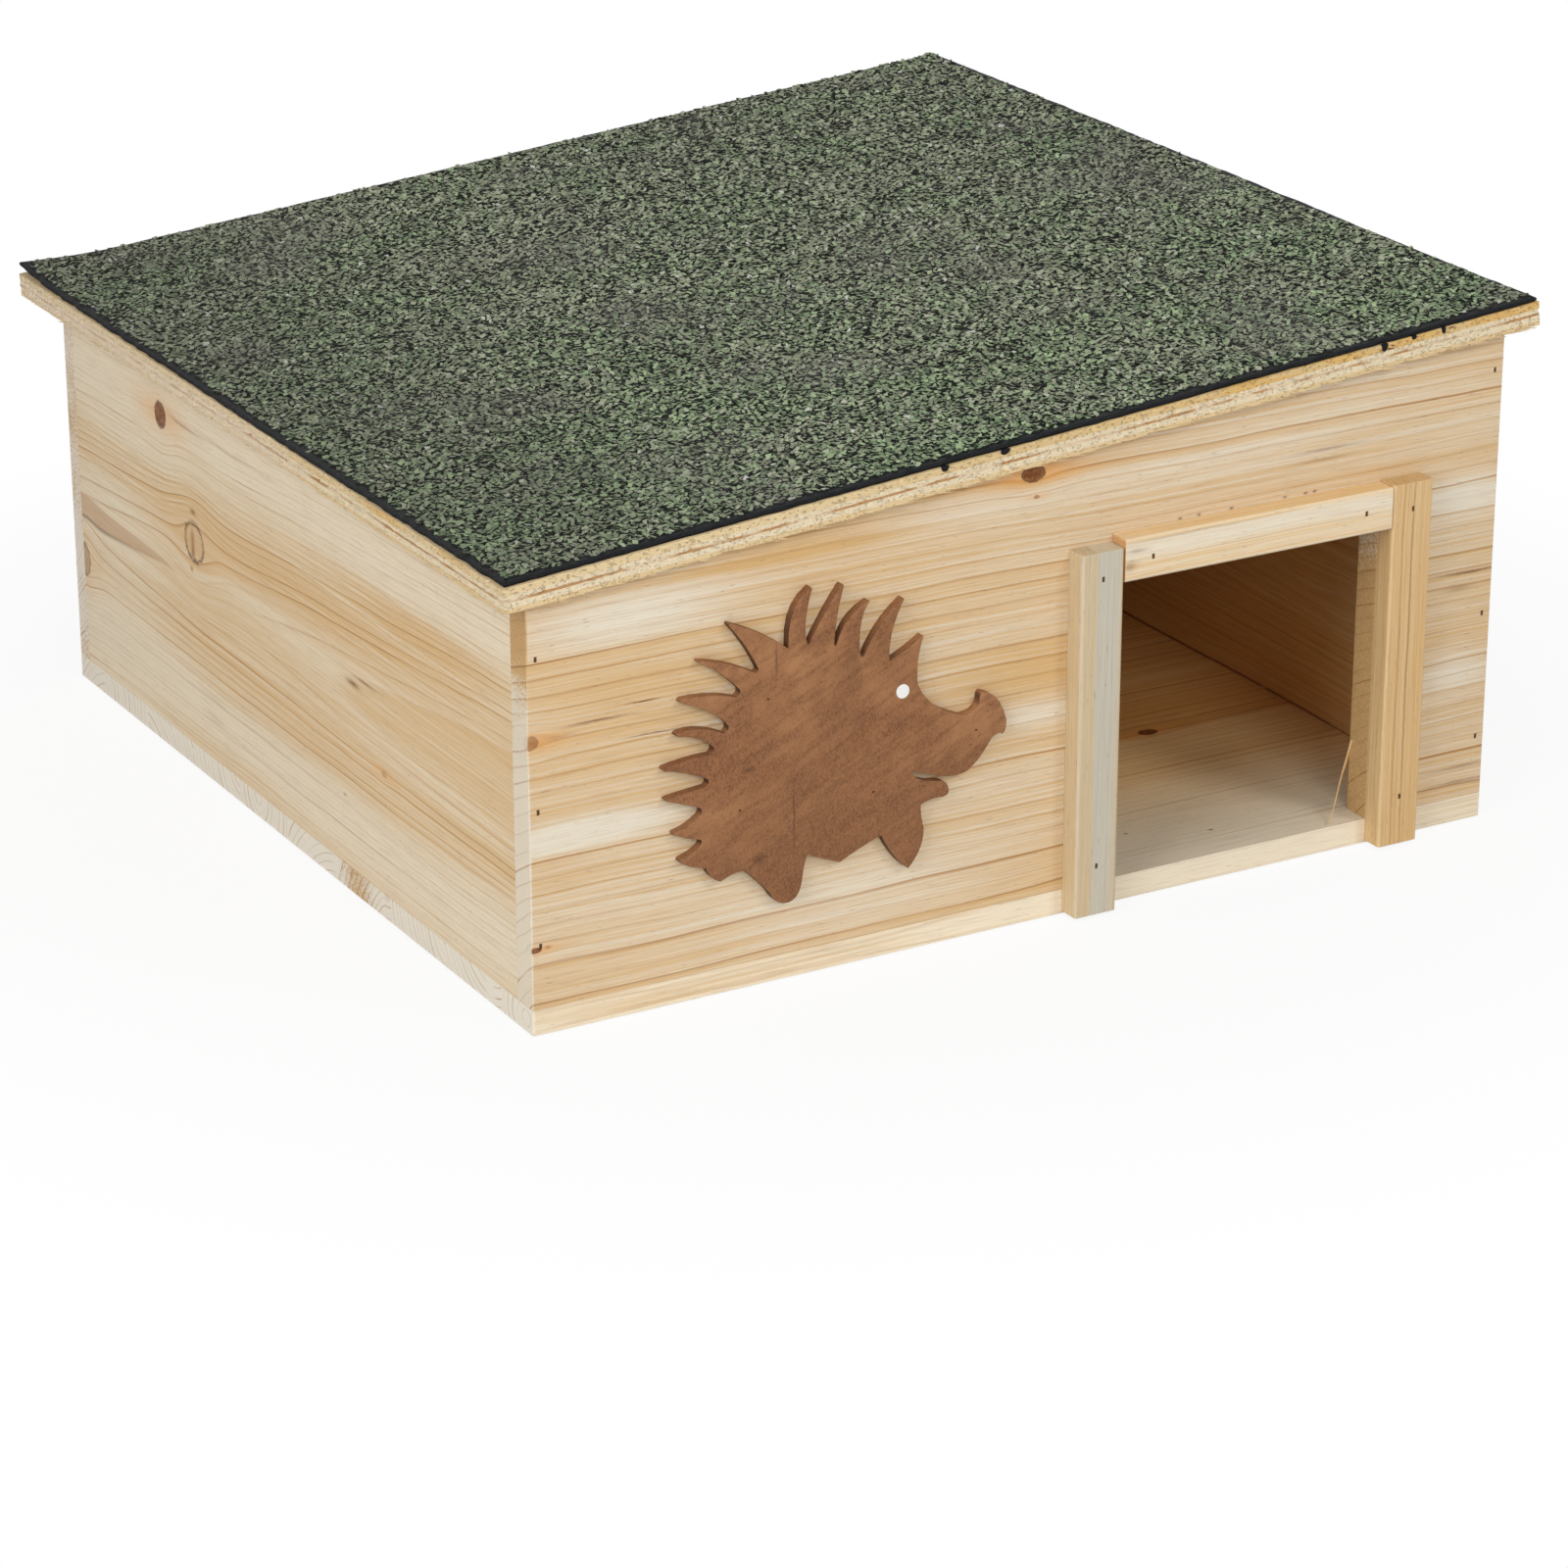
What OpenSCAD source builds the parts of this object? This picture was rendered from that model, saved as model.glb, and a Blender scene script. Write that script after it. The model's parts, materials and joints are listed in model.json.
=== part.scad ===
// Wooden hedgehog house: a square nesting box with a framed doorway, a cut-out plaque
// and a felted plywood roof that lifts on two butt hinges under its back eave.
// The front faces -Y, the roof rises towards +X, and the origin is the centre of the
// floor's underside. All sizes are in millimetres.

/* [House] */
// Width of the box across its front
house_w = 400; // [370:1:460]
// Depth of the box from the front face to the back face
house_d = 400; // [300:1:480]
// Height of the wall tops above the base at the left outer face
low_h = 157; // [150:1:175]
// Height of the wall tops above the base at the right outer face
high_h = 191; // [176:1:220]

/* [Boards] */
// Thickness of the floor panel
floor_t = 9.5; // [8:0.5:14]
// Thickness of the front panel
front_t = 11.5; // [9:0.5:16]
// Thickness of the two side panels
side_t = 9; // [8:0.5:14]
// Thickness of the back panel
back_t = 9; // [8:0.5:14]

/* [Doorway] */
// Width of the doorway
door_w = 116; // [90:1:130]
// Height of the doorway above the floor
door_h = 116.5; // [95:0.5:125]
// Width of the front panel left standing to the right of the doorway
door_post_w = 53; // [36:1:64]

/* [Door frame] */
// Width of the two jamb strips
jamb_w = 17.5; // [12:0.5:24]
// Thickness of the jamb strips and of the lintel strip
frame_t = 9; // [6:0.5:14]
// Height of the strip that carries the lintel across the doorway
lintel_h = 16; // [12:0.5:22]
// How far the left jamb stops short of the lintel's top edge
left_jamb_drop = 3; // [0:0.5:8]
// How far the right jamb stands above the lintel's top edge
right_jamb_rise = 0.5; // [0:0.5:8]
// Gap under the jambs, which hang clear of the ground
jamb_foot_gap = 1; // [0.5:0.5:4]
// Gap between each end of the lintel and the jamb beside it
lintel_end_gap = 0.4; // [0.1:0.1:1]
// Chamfer along the front edges of the jambs and the lintel
frame_chamfer = 0.8; // [0.4:0.2:1.6]

/* [Plaque] */
// Width of the cut-out plaque from the spines to the nose
plaque_w = 137; // [100:0.5:150]
// Thickness of the plaque
plaque_t = 3.5; // [3:0.5:6]
// Distance of the plaque's middle from the left outer face
plaque_inset = 117; // [90:0.5:120]
// Distance of the plaque's middle below the wall tops
plaque_drop = 79.5; // [70:0.5:85]
// Diameter of the white eye disc
eye_d = 5.2; // [3:0.2:7]
// Depth of the eye disc's seat in the plaque
eye_depth = 1.2; // [0.8:0.1:2]
// Height of the eye disc above the plaque's face
eye_proud = 0.2; // [0.1:0.1:0.6]

/* [Roof] */
// Thickness of the plywood roof panel
ply_t = 9; // [8:0.5:15]
// Thickness of the mineral felt on the roof panel
felt_t = 3; // [2:0.5:5]
// How far the felt's edge stays behind the plywood's edge
felt_inset = 0.5; // [0.5:0.5:4]
// Overhang of the roof past the left side
eave_left = 10; // [4:1:30]
// Overhang of the roof past the right side
eave_right = 12; // [4:1:30]
// Overhang of the roof past the front panel
eave_front = 5; // [2:0.5:20]
// Gap between the wall tops and the closed roof
roof_gap = 0.2; // [0.1:0.1:0.5]

/* [Hinges] */
// Length of each hinge along its pin
hinge_l = 40; // [30:1:60]
// Distance from the pin to the far edge of each leaf
leaf_w = 14; // [12:0.5:24]
// Thickness of the hinge leaves
leaf_t = 1.2; // [1:0.1:1.6]
// Distance of each hinge's middle from the outer face of the nearer side wall
hinge_inset = 80; // [50:1:120]
// Outer diameter of the hinge barrel
barrel_d = 4.8; // [4.4:0.1:6]
// Diameter of the hinge pin
pin_d = 2.4; // [2:0.1:3]
// Number of knuckles in each barrel, shared out in turn between the two leaves
knuckles = 5; // [3:2:7]
// Width of roof left behind the roof leaf's far edge
leaf_margin = 1.3; // [1:0.1:6]
// Distance between the two screws of a leaf
screw_pitch = 26; // [16:1:28]
// Diameter of the screw shank
screw_d = 2.6; // [2:0.1:3]
// Diameter of the screw head
screw_head_d = 5; // [4.4:0.1:5.6]
// Depth that the screws reach into the wood
screw_bite = 6.5; // [4:0.5:7]

/* [Nails] */
// Diameter of the nail shanks
nail_d = 1; // [0.8:0.1:1.6]
// Long side of the narrow nail heads
nail_head_l = 2; // [1.8:0.1:3.2]
// Short side of the narrow nail heads
nail_head_w = 1.2; // [1.2:0.1:1.8]
// Depth that the nail heads are sunk below the wood
nail_sink = 0.4; // [0.2:0.1:1]
// Diameter of the headless pins through the plaque
plaque_pin_d = 0.9; // [0.8:0.1:1.2]
// Depth that the panel nails reach into the next board
panel_nail_bite = 16; // [10:1:20]
// Depth that the nails of the trim and the pins of the plaque reach into the front panel
trim_nail_bite = 6; // [3:0.5:7]
// Distance of the front and back nails from the panel's end
nail_inset = 3.5; // [2.5:0.1:5.5]
// Height of the lowest front and back nails
low_nail_h = 33; // [31:1:45]
// Height of the middle front and back nails
mid_nail_h = 82; // [70:1:95]
// Distance of the highest front and back nails below the wall tops at the high side
top_nail_drop = 14.5; // [10:0.5:25]
// How much lower the highest front and back nails sit at the low side
low_side_nail_drop = 6; // [0:0.5:10]
// Distance between the floor nails along a wall
floor_nail_pitch = 130; // [80:1:140]

/* [Hidden] */

$fn = 48;
// How far a cutting shape runs past the face that it cuts
over = 1;
// Radial clearance of nails, screws and the eye disc in their holes
snug_fit = 0.02;
// Radial clearance of the hinge pin in its knuckles
running_fit = 0.05;
// Room left past the end of a nail, a screw or the eye disc in its hole
tip_room = 0.3;

// Colours of the materials
fir = [0.86, 0.73, 0.53];
fir_grey = [0.78, 0.67, 0.52];
fir_orange = [0.84, 0.64, 0.40];
stained_brown = [0.25, 0.14, 0.08];
plywood = [0.80, 0.66, 0.45];
felt_green = [0.36, 0.38, 0.33];
zinc = [0.72, 0.72, 0.70];
nail_steel = [0.35, 0.33, 0.31];

// Outer faces of the box and heights of its walls
half_w = house_w / 2;
half_d = house_d / 2;
slope = atan2(high_h - low_h, house_w);
roof_run = house_w / cos(slope);
// Height of the blank boards, above every wall top, that the roof line is cut from
blank_h = max(low_h, high_h) + over;
function wall_top(x) = low_h + (x + half_w) * tan(slope);

// Doorway and frame
door_right = half_w - door_post_w;
door_left = door_right - door_w;
door_top = floor_t + door_h;
lintel_top = door_top + lintel_h;
left_jamb_top = lintel_top - left_jamb_drop;
right_jamb_top = lintel_top + right_jamb_rise;
lintel_left = door_left + lintel_end_gap;
lintel_w = door_w - 2 * lintel_end_gap;

// Nails: thickness of the heads, and the heights of the lower front and back nails
nail_head_t = nail_d * 2 / 3;
panel_nail_heights = [low_nail_h, mid_nail_h];
// Distance of the jamb nails from the ends of the jamb
jamb_nail_end = 10;
jamb_nail_foot = 20;
// Distance of the lintel nails from the ends of the lintel
lintel_nail_end = 12;
// Floor nails that reach into the front panel: one far left and one on each side of the
// doorway, as far from it as the middle of the narrow post on its right
door_nail_gap = door_post_w / 2;
front_floor_nails_x = [-floor_nail_pitch, door_left - door_nail_gap, door_right + door_nail_gap];

// Hinge: the pin lies in the corner between the back panel and the roof's underside
barrel_gap = 0.3;
knuckle_gap = 0.3;
hinge_off = barrel_d / 2 + barrel_gap;
knuckle_l = (hinge_l - (knuckles - 1) * knuckle_gap) / knuckles;
plate_start = barrel_d / 2 + 2 * barrel_gap;
screw_row = (plate_start + leaf_w) / 2;
pin_head_d = pin_d * 1.5;
pin_head_t = pin_d / 3;
hinge_x = [hinge_inset, roof_run - hinge_inset];
wall_knuckles = [0 : 2 : knuckles - 1];
roof_knuckles = [1 : 2 : knuckles - 1];
screw_slot_l = screw_head_d * 0.6;
screw_slot_w = screw_head_d * 0.16;
screw_slot_t = leaf_t / 2;

// Roof: its back eave is as wide as the roof leaf needs
eave_back = hinge_off + leaf_w + leaf_margin;
roof_l = eave_left + roof_run + eave_right;
roof_d = eave_front + house_d + eave_back;

// Plaque: the outline is drawn figure_w wide, with its origin near its middle. Each row is a
// point of the outline and the control point of the curve that leads to the next one.
figure_w = 137;
curve_steps = 5;
plaque_scale = plaque_w / figure_w;
plaque_x = plaque_inset - half_w;
plaque_z = wall_top(plaque_x) - plaque_drop;
figure = [
    // spines along the back, from the top of the rump to the forehead
    [-18.8, 37, -19.5, 52],
    [-10.3, 57.2, -9.6, 57.8],
    [-9.5, 56.8, -13.2, 44.9],
    [-11.5, 37.6, -11.3, 36.6],
    [-10.3, 37.4, -4.4, 47.8],
    [2, 56, 2.9, 56.8],
    [3, 55.5, 0.3, 46.5],
    [-0.8, 35, -0.6, 34.2],
    [0.3, 34.8, 3.4, 44.8],
    [12.6, 48.3, 13.2, 48.9],
    [13.2, 48.2, 8.4, 42],
    [9.7, 29, 10, 28.2],
    [11.4, 28.8, 16.4, 39.6],
    [26.2, 46.6, 27, 47.4],
    [27, 46.4, 21, 35.7],
    [21.3, 25.2, 21.8, 24.7],
    [22.6, 25.4, 28, 27.4],
    [34.3, 31.5, 35, 32.2],
    [35, 31.4, 32.6, 24],
    // forehead, bridge and nose
    [32.8, 18, 32.1, 12],
    [39, 5.8, 43, 2.4],
    [51, -0.9, 58.3, -1.2],
    [58.4, 4.5, 58.4, 6],
    [59.4, 6.4, 66.9, 4.6],
    [69.6, -6, 69.8, -10.4],
    [68, -11.2, 66.2, -9.6],
    // chin and mouth
    [63.5, -12, 59.2, -18.8],
    [54, -22.3, 48.8, -24.2],
    [42.3, -22, 37.3, -20.3],
    [31, -18.1, 32.1, -22.5],
    // arm
    [40.7, -23.6, 45.4, -24.1],
    [46, -27, 46.8, -30.1],
    [43.5, -30.3, 38.8, -29.6],
    // front leg, belly and rear leg
    [34.8, -31.4, 34.5, -35],
    [36.1, -40.5, 36.2, -48.4],
    [29.8, -54.6, 23.8, -50.4],
    [18.6, -39.8, 12.7, -41.3],
    [2, -46.4, -4.5, -44],
    [-11, -40.9, -12.3, -43],
    [-13.1, -49, -13.9, -56.8],
    [-18.8, -57.3, -23.6, -57.7],
    [-26.8, -51.3, -30.6, -47],
    // tail
    [-36, -41.7, -40, -41],
    [-45.6, -43.8, -49.5, -42.1],
    // spines down the rump, from the lowest to the highest
    [-51.4, -37.6, -57, -36.5],
    [-60.6, -33.8, -62, -33.2],
    [-60.9, -32.3, -56.2, -31],
    [-54, -29.2, -52.2, -27.5],
    [-53.4, -26.4, -57.6, -25.6],
    [-62.8, -23.1, -64.2, -22.8],
    [-63.2, -22, -58.9, -21.4],
    [-53.9, -18, -52, -16.2],
    [-53.3, -14.8, -60.6, -11.8],
    [-65.8, -10, -67.4, -9.4],
    [-65.8, -8.9, -58.8, -8],
    [-51.2, -7.5, -49.3, -6],
    [-50.6, -4.6, -58.4, -0.6],
    [-66.6, 1.3, -68.2, 1.6],
    [-66.8, 2.6, -57.6, 4.2],
    [-49, 4, -47.2, 5.6],
    [-48.4, 7, -54.4, 12],
    [-61.6, 12.8, -63.4, 13.6],
    [-61.2, 14.4, -53.6, 15.8],
    [-43.4, 10.6, -41.5, 12.4],
    [-42.6, 13.8, -48, 20],
    [-59.8, 24.5, -61.6, 25.3],
    [-59.8, 26.1, -48.4, 26.5],
    [-38.8, 22.9, -36.9, 24.4],
    [-37.9, 25.8, -46.4, 34.6],
    [-53, 37.8, -54.4, 38.8],
    [-52.8, 38.6, -42.9, 37],
    [-31.4, 30.4, -30, 31],
    [-30.7, 32, -34.6, 40.6],
    [-41.7, 49, -42.4, 50.4],
    [-40.8, 49.8, -28.8, 45]
];
// Places of the eye and of the four pins on the outline's own scale
eye_at = [26.8, 12.7];
pins_at = [[-26.8, 20], [-38, -18.7], [15.2, -22.6], [57, -7.6]];

function knot(i) = [figure[i][0], figure[i][1]];
function handle(i) = [figure[i][2], figure[i][3]];
function curve_at(a, c, b, t) = (1 - t) * (1 - t) * a + 2 * t * (1 - t) * c + t * t * b;
function figure_points() = [
    for (i = [0 : len(figure) - 1])
        for (s = [0 : curve_steps - 1])
            curve_at(knot(i), handle(i), knot((i + 1) % len(figure)), s / curve_steps)
];

// Frames of reference

// The roof's own frame: x up the slope from the left wall top, z square to the roof
module on_slope() {
    translate([-half_w, 0, low_h]) rotate([0, -slope, 0]) children();
}

// The pin of each hinge named in a list of places along the slope
module at_hinges(places) {
    on_slope()
        for (x = places)
            translate([x, half_d + hinge_off, roof_gap - hinge_off]) children();
}

// Swaps a leaf that lies under the roof for one that lies against the back panel
module against_wall() {
    mirror([0, 1, 1]) children();
}

// Faces the plaque's outline to the front, with its back on the front panel
module on_plaque() {
    translate([plaque_x, -half_d, plaque_z]) rotate([90, 0, 0]) children();
}

// Fasteners, drawn from the surface at z = 0 into the wood along +z

module brad(l) {
    translate([-nail_head_w / 2, -nail_head_l / 2, nail_sink])
        cube([nail_head_w, nail_head_l, nail_head_t]);
    translate([0, 0, nail_sink]) cylinder(d = nail_d, h = l - nail_sink);
}

module brad_hole(l) {
    translate([-nail_head_w / 2 - snug_fit, -nail_head_l / 2 - snug_fit, -over])
        cube([nail_head_w + 2 * snug_fit, nail_head_l + 2 * snug_fit, over + nail_sink + nail_head_t]);
    cylinder(d = nail_d + 2 * snug_fit, h = l + tip_room);
}

module headless_pin(l) {
    translate([0, 0, nail_sink]) cylinder(d = plaque_pin_d, h = l - nail_sink);
}

module headless_pin_hole(l) {
    translate([0, 0, -over])
        cylinder(d = plaque_pin_d + 2 * snug_fit, h = over + l + tip_room);
}

module screw() {
    difference() {
        union() {
            cylinder(d1 = screw_head_d, d2 = screw_d, h = leaf_t);
            cylinder(d = screw_d, h = leaf_t + screw_bite);
        }
        for (turn = [0, 90])
            rotate([0, 0, turn])
                translate([-screw_slot_l / 2, -screw_slot_w / 2, -over])
                    cube([screw_slot_l, screw_slot_w, over + screw_slot_t]);
    }
}

module screw_hole() {
    cylinder(d1 = screw_head_d + 2 * snug_fit, d2 = screw_d + 2 * snug_fit, h = leaf_t);
    cylinder(d = screw_d + 2 * snug_fit, h = leaf_t + screw_bite + tip_room);
}

// Places of the fasteners

module at_end_nails(x, drop) {
    for (z = concat(panel_nail_heights, wall_top(x) - drop))
        translate([x, -half_d, z]) rotate([-90, 0, 0]) children();
}

module at_front_nails() {
    at_end_nails(nail_inset - half_w, top_nail_drop + low_side_nail_drop) children();
    at_end_nails(half_w - nail_inset, top_nail_drop) children();
}

module at_back_nails() {
    mirror([0, 1, 0]) at_front_nails() children();
}

module at_floor_nails() {
    for (k = [-1 : 1]) {
        for (x = [side_t / 2 - half_w, half_w - side_t / 2])
            translate([x, k * floor_nail_pitch, 0]) children();
        translate([k * floor_nail_pitch, half_d - back_t / 2, 0]) children();
    }
    for (x = front_floor_nails_x)
        translate([x, front_t / 2 - half_d, 0]) children();
}

module at_jamb_nails(x, top) {
    for (z = [jamb_nail_foot, top - jamb_nail_end])
        translate([x, -half_d - frame_t, z]) rotate([-90, 0, 0]) children();
}

module at_left_jamb_nails() {
    at_jamb_nails(door_left - jamb_w / 2, left_jamb_top) children();
}

module at_right_jamb_nails() {
    at_jamb_nails(door_right + jamb_w / 2, right_jamb_top) children();
}

module at_lintel_nails() {
    for (x = [door_left + lintel_nail_end, door_right - lintel_nail_end])
        translate([x, -half_d - frame_t, door_top + lintel_h / 2]) rotate([-90, 0, 0]) children();
}

module at_plaque_pins() {
    on_plaque()
        for (p = pins_at)
            translate([p[0] * plaque_scale, p[1] * plaque_scale, plaque_t]) rotate([180, 0, 0]) children();
}

module at_leaf_screws() {
    for (side = [-1, 1])
        translate([side * screw_pitch / 2, screw_row, hinge_off - leaf_t]) children();
}

module at_wall_screws() {
    at_hinges(hinge_x) against_wall() at_leaf_screws() children();
}

module at_roof_screws() {
    at_hinges(hinge_x) at_leaf_screws() children();
}

// Nails cut to the pieces that they join

module panel_nail(t) {
    brad(t + panel_nail_bite);
}

module panel_nail_hole(t) {
    brad_hole(t + panel_nail_bite);
}

module trim_nail(t) {
    brad(t + trim_nail_bite);
}

module trim_nail_hole(t) {
    brad_hole(t + trim_nail_bite);
}

module plaque_pin() {
    headless_pin(plaque_t + trim_nail_bite);
}

module plaque_pin_hole() {
    headless_pin_hole(plaque_t + trim_nail_bite);
}

module wall_holes() {
    at_front_nails() panel_nail_hole(front_t);
    at_back_nails() panel_nail_hole(back_t);
    at_floor_nails() panel_nail_hole(floor_t);
}

// Boards of the box

// A wall board that stands on the floor and ends under the sloping roof
module wall(x, y, w, d) {
    difference() {
        translate([x, y, floor_t]) cube([w, d, blank_h - floor_t]);
        on_slope()
            translate([-house_w, -house_d, 0])
                cube([3 * house_w, 2 * house_d, house_w]);
    }
}

module floor_panel() {
    color(fir)
        difference() {
            translate([-half_w, -half_d, 0]) cube([house_w, house_d, floor_t]);
            at_floor_nails() panel_nail_hole(floor_t);
        }
}

module front_panel() {
    color(fir)
        difference() {
            wall(-half_w, -half_d, house_w, front_t);
            translate([door_left, -half_d - over, floor_t - over])
                cube([door_w, front_t + 2 * over, door_h + over]);
            at_front_nails() panel_nail_hole(front_t);
            at_floor_nails() panel_nail_hole(floor_t);
            at_left_jamb_nails() trim_nail_hole(frame_t);
            at_right_jamb_nails() trim_nail_hole(frame_t);
            at_lintel_nails() trim_nail_hole(frame_t);
            at_plaque_pins() plaque_pin_hole();
        }
}

module back_panel() {
    color(fir)
        difference() {
            wall(-half_w, half_d - back_t, house_w, back_t);
            at_back_nails() panel_nail_hole(back_t);
            at_floor_nails() panel_nail_hole(floor_t);
            at_wall_screws() screw_hole();
        }
}

module side_panel(x) {
    difference() {
        wall(x, front_t - half_d, side_t, house_d - front_t - back_t);
        wall_holes();
    }
}

module left_side_panel() {
    color(fir) side_panel(-half_w);
}

module right_side_panel() {
    color(fir) side_panel(half_w - side_t);
}

// Frame round the doorway

// Section of a strip that lies flat on y = 0, with its front edges chamfered
module strip_section(w) {
    polygon([
        [0, 0],
        [0, frame_chamfer - frame_t],
        [frame_chamfer, -frame_t],
        [w - frame_chamfer, -frame_t],
        [w, frame_chamfer - frame_t],
        [w, 0]
    ]);
}

module jamb(x, top) {
    translate([x, -half_d, jamb_foot_gap])
        linear_extrude(height = top - jamb_foot_gap) strip_section(jamb_w);
}

module left_door_jamb() {
    color(fir_grey)
        difference() {
            jamb(door_left - jamb_w, left_jamb_top);
            at_left_jamb_nails() trim_nail_hole(frame_t);
        }
}

module right_door_jamb() {
    color(fir_orange)
        difference() {
            jamb(door_right, right_jamb_top);
            at_right_jamb_nails() trim_nail_hole(frame_t);
        }
}

module door_lintel() {
    color(fir)
        difference() {
            translate([lintel_left, -half_d, lintel_top])
                rotate([0, 90, 0])
                    linear_extrude(height = lintel_w) strip_section(lintel_h);
            at_lintel_nails() trim_nail_hole(frame_t);
        }
}

// Plaque

module hedgehog_plaque() {
    color(stained_brown)
        difference() {
            on_plaque()
                linear_extrude(height = plaque_t)
                    scale(plaque_scale) polygon(figure_points());
            on_plaque()
                translate([eye_at[0] * plaque_scale, eye_at[1] * plaque_scale, plaque_t - eye_depth])
                    cylinder(d = eye_d + 2 * snug_fit, h = eye_depth + over);
            at_plaque_pins() plaque_pin_hole();
        }
}

module plaque_eye() {
    color("white")
        on_plaque()
            translate([eye_at[0] * plaque_scale, eye_at[1] * plaque_scale, plaque_t - eye_depth])
                cylinder(d = eye_d, h = eye_depth + eye_proud);
}

module plaque_pins() {
    color(nail_steel) at_plaque_pins() plaque_pin();
}

// Roof

module roof_panel() {
    color(plywood)
        difference() {
            on_slope()
                translate([-eave_left, -half_d - eave_front, roof_gap])
                    cube([roof_l, roof_d, ply_t]);
            at_roof_screws() screw_hole();
        }
}

module roof_felt() {
    color(felt_green)
        on_slope()
            translate([felt_inset - eave_left, felt_inset - half_d - eave_front, roof_gap + ply_t])
                cube([roof_l - 2 * felt_inset, roof_d - 2 * felt_inset, felt_t]);
}

// Hinges

// One leaf with its own knuckles, lying under the roof and reaching out along +y
module leaf(own) {
    difference() {
        union() {
            translate([-hinge_l / 2, plate_start, hinge_off - leaf_t])
                cube([hinge_l, leaf_w - plate_start, leaf_t]);
            for (i = own)
                translate([i * (knuckle_l + knuckle_gap) - hinge_l / 2, 0, 0]) {
                    translate([0, 0, hinge_off - leaf_t]) cube([knuckle_l, plate_start, leaf_t]);
                    rotate([0, 90, 0]) cylinder(d = barrel_d, h = knuckle_l);
                }
        }
        translate([-hinge_l / 2 - over, 0, 0])
            rotate([0, 90, 0])
                cylinder(d = pin_d + 2 * running_fit, h = hinge_l + 2 * over);
        at_leaf_screws() screw_hole();
    }
}

module wall_leaf(x) {
    color(zinc) at_hinges([x]) against_wall() leaf(wall_knuckles);
}

module roof_leaf(x) {
    color(zinc) at_hinges([x]) leaf(roof_knuckles);
}

module hinge_pin(x) {
    color(zinc)
        at_hinges([x])
            rotate([0, 90, 0]) {
                cylinder(d = pin_d, h = hinge_l, center = true);
                for (side = [0, 1])
                    mirror([0, 0, side])
                        translate([0, 0, hinge_l / 2]) cylinder(d = pin_head_d, h = pin_head_t);
            }
}

module left_hinge_wall_leaf() { wall_leaf(hinge_x[0]); }
module left_hinge_roof_leaf() { roof_leaf(hinge_x[0]); }
module left_hinge_pin() { hinge_pin(hinge_x[0]); }
module right_hinge_wall_leaf() { wall_leaf(hinge_x[1]); }
module right_hinge_roof_leaf() { roof_leaf(hinge_x[1]); }
module right_hinge_pin() { hinge_pin(hinge_x[1]); }

module hinge_wall_screws() {
    color(zinc) at_wall_screws() screw();
}

module hinge_roof_screws() {
    color(zinc) at_roof_screws() screw();
}

// Nails

module front_panel_nails() {
    color(nail_steel) at_front_nails() panel_nail(front_t);
}

module back_panel_nails() {
    color(nail_steel) at_back_nails() panel_nail(back_t);
}

module floor_nails() {
    color(nail_steel) at_floor_nails() panel_nail(floor_t);
}

module left_jamb_nails() {
    color(nail_steel) at_left_jamb_nails() trim_nail(frame_t);
}

module right_jamb_nails() {
    color(nail_steel) at_right_jamb_nails() trim_nail(frame_t);
}

module lintel_nails() {
    color(nail_steel) at_lintel_nails() trim_nail(frame_t);
}

floor_panel();
front_panel();
back_panel();
left_side_panel();
right_side_panel();
left_door_jamb();
right_door_jamb();
door_lintel();
hedgehog_plaque();
plaque_eye();
plaque_pins();
roof_panel();
roof_felt();
left_hinge_wall_leaf();
left_hinge_roof_leaf();
left_hinge_pin();
right_hinge_wall_leaf();
right_hinge_roof_leaf();
right_hinge_pin();
hinge_wall_screws();
hinge_roof_screws();
front_panel_nails();
back_panel_nails();
floor_nails();
left_jamb_nails();
right_jamb_nails();
lintel_nails();
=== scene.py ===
"""Looks of a wooden hedgehog house, built round its CAD frame in metres and in the frame's axes.

The front faces -Y, the roof rises towards +X, and the house stands on Z = 0. Wood is a solid
texture: each board has its own pith line, growth rings, knots and streaks in millimetres.
"""

import json
import math
from collections import namedtuple

import bmesh
import bpy
import numpy as np
from mathutils import Matrix, Vector


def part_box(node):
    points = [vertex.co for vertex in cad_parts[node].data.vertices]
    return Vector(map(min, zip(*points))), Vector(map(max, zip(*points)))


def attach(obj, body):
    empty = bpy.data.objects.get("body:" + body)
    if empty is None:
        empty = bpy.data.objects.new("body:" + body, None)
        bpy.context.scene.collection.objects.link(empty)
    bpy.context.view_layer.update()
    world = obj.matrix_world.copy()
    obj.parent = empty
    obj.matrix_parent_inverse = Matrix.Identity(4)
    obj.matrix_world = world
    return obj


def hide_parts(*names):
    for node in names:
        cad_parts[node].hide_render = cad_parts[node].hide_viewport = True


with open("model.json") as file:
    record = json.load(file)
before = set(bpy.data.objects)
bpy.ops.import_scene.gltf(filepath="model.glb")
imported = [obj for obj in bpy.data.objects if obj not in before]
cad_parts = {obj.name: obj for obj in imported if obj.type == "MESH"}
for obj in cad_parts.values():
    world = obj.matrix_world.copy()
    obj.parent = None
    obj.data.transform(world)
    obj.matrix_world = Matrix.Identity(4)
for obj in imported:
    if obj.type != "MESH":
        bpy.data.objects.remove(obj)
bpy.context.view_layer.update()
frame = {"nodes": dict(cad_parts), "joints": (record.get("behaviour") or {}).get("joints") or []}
nodes = frame["nodes"]
rng = np.random.default_rng(11)

MM = 0.001

# The roof's own axes: x up the slope, y to the back, z square to the roof
hinge_axis = Vector(frame["joints"][0]["axis"])
SLOPE = math.atan2(-hinge_axis.z, -hinge_axis.x)
FROM_ROOF = Matrix.Rotation(-SLOPE, 4, "Y")
TO_ROOF = FROM_ROOF.inverted()


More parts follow.
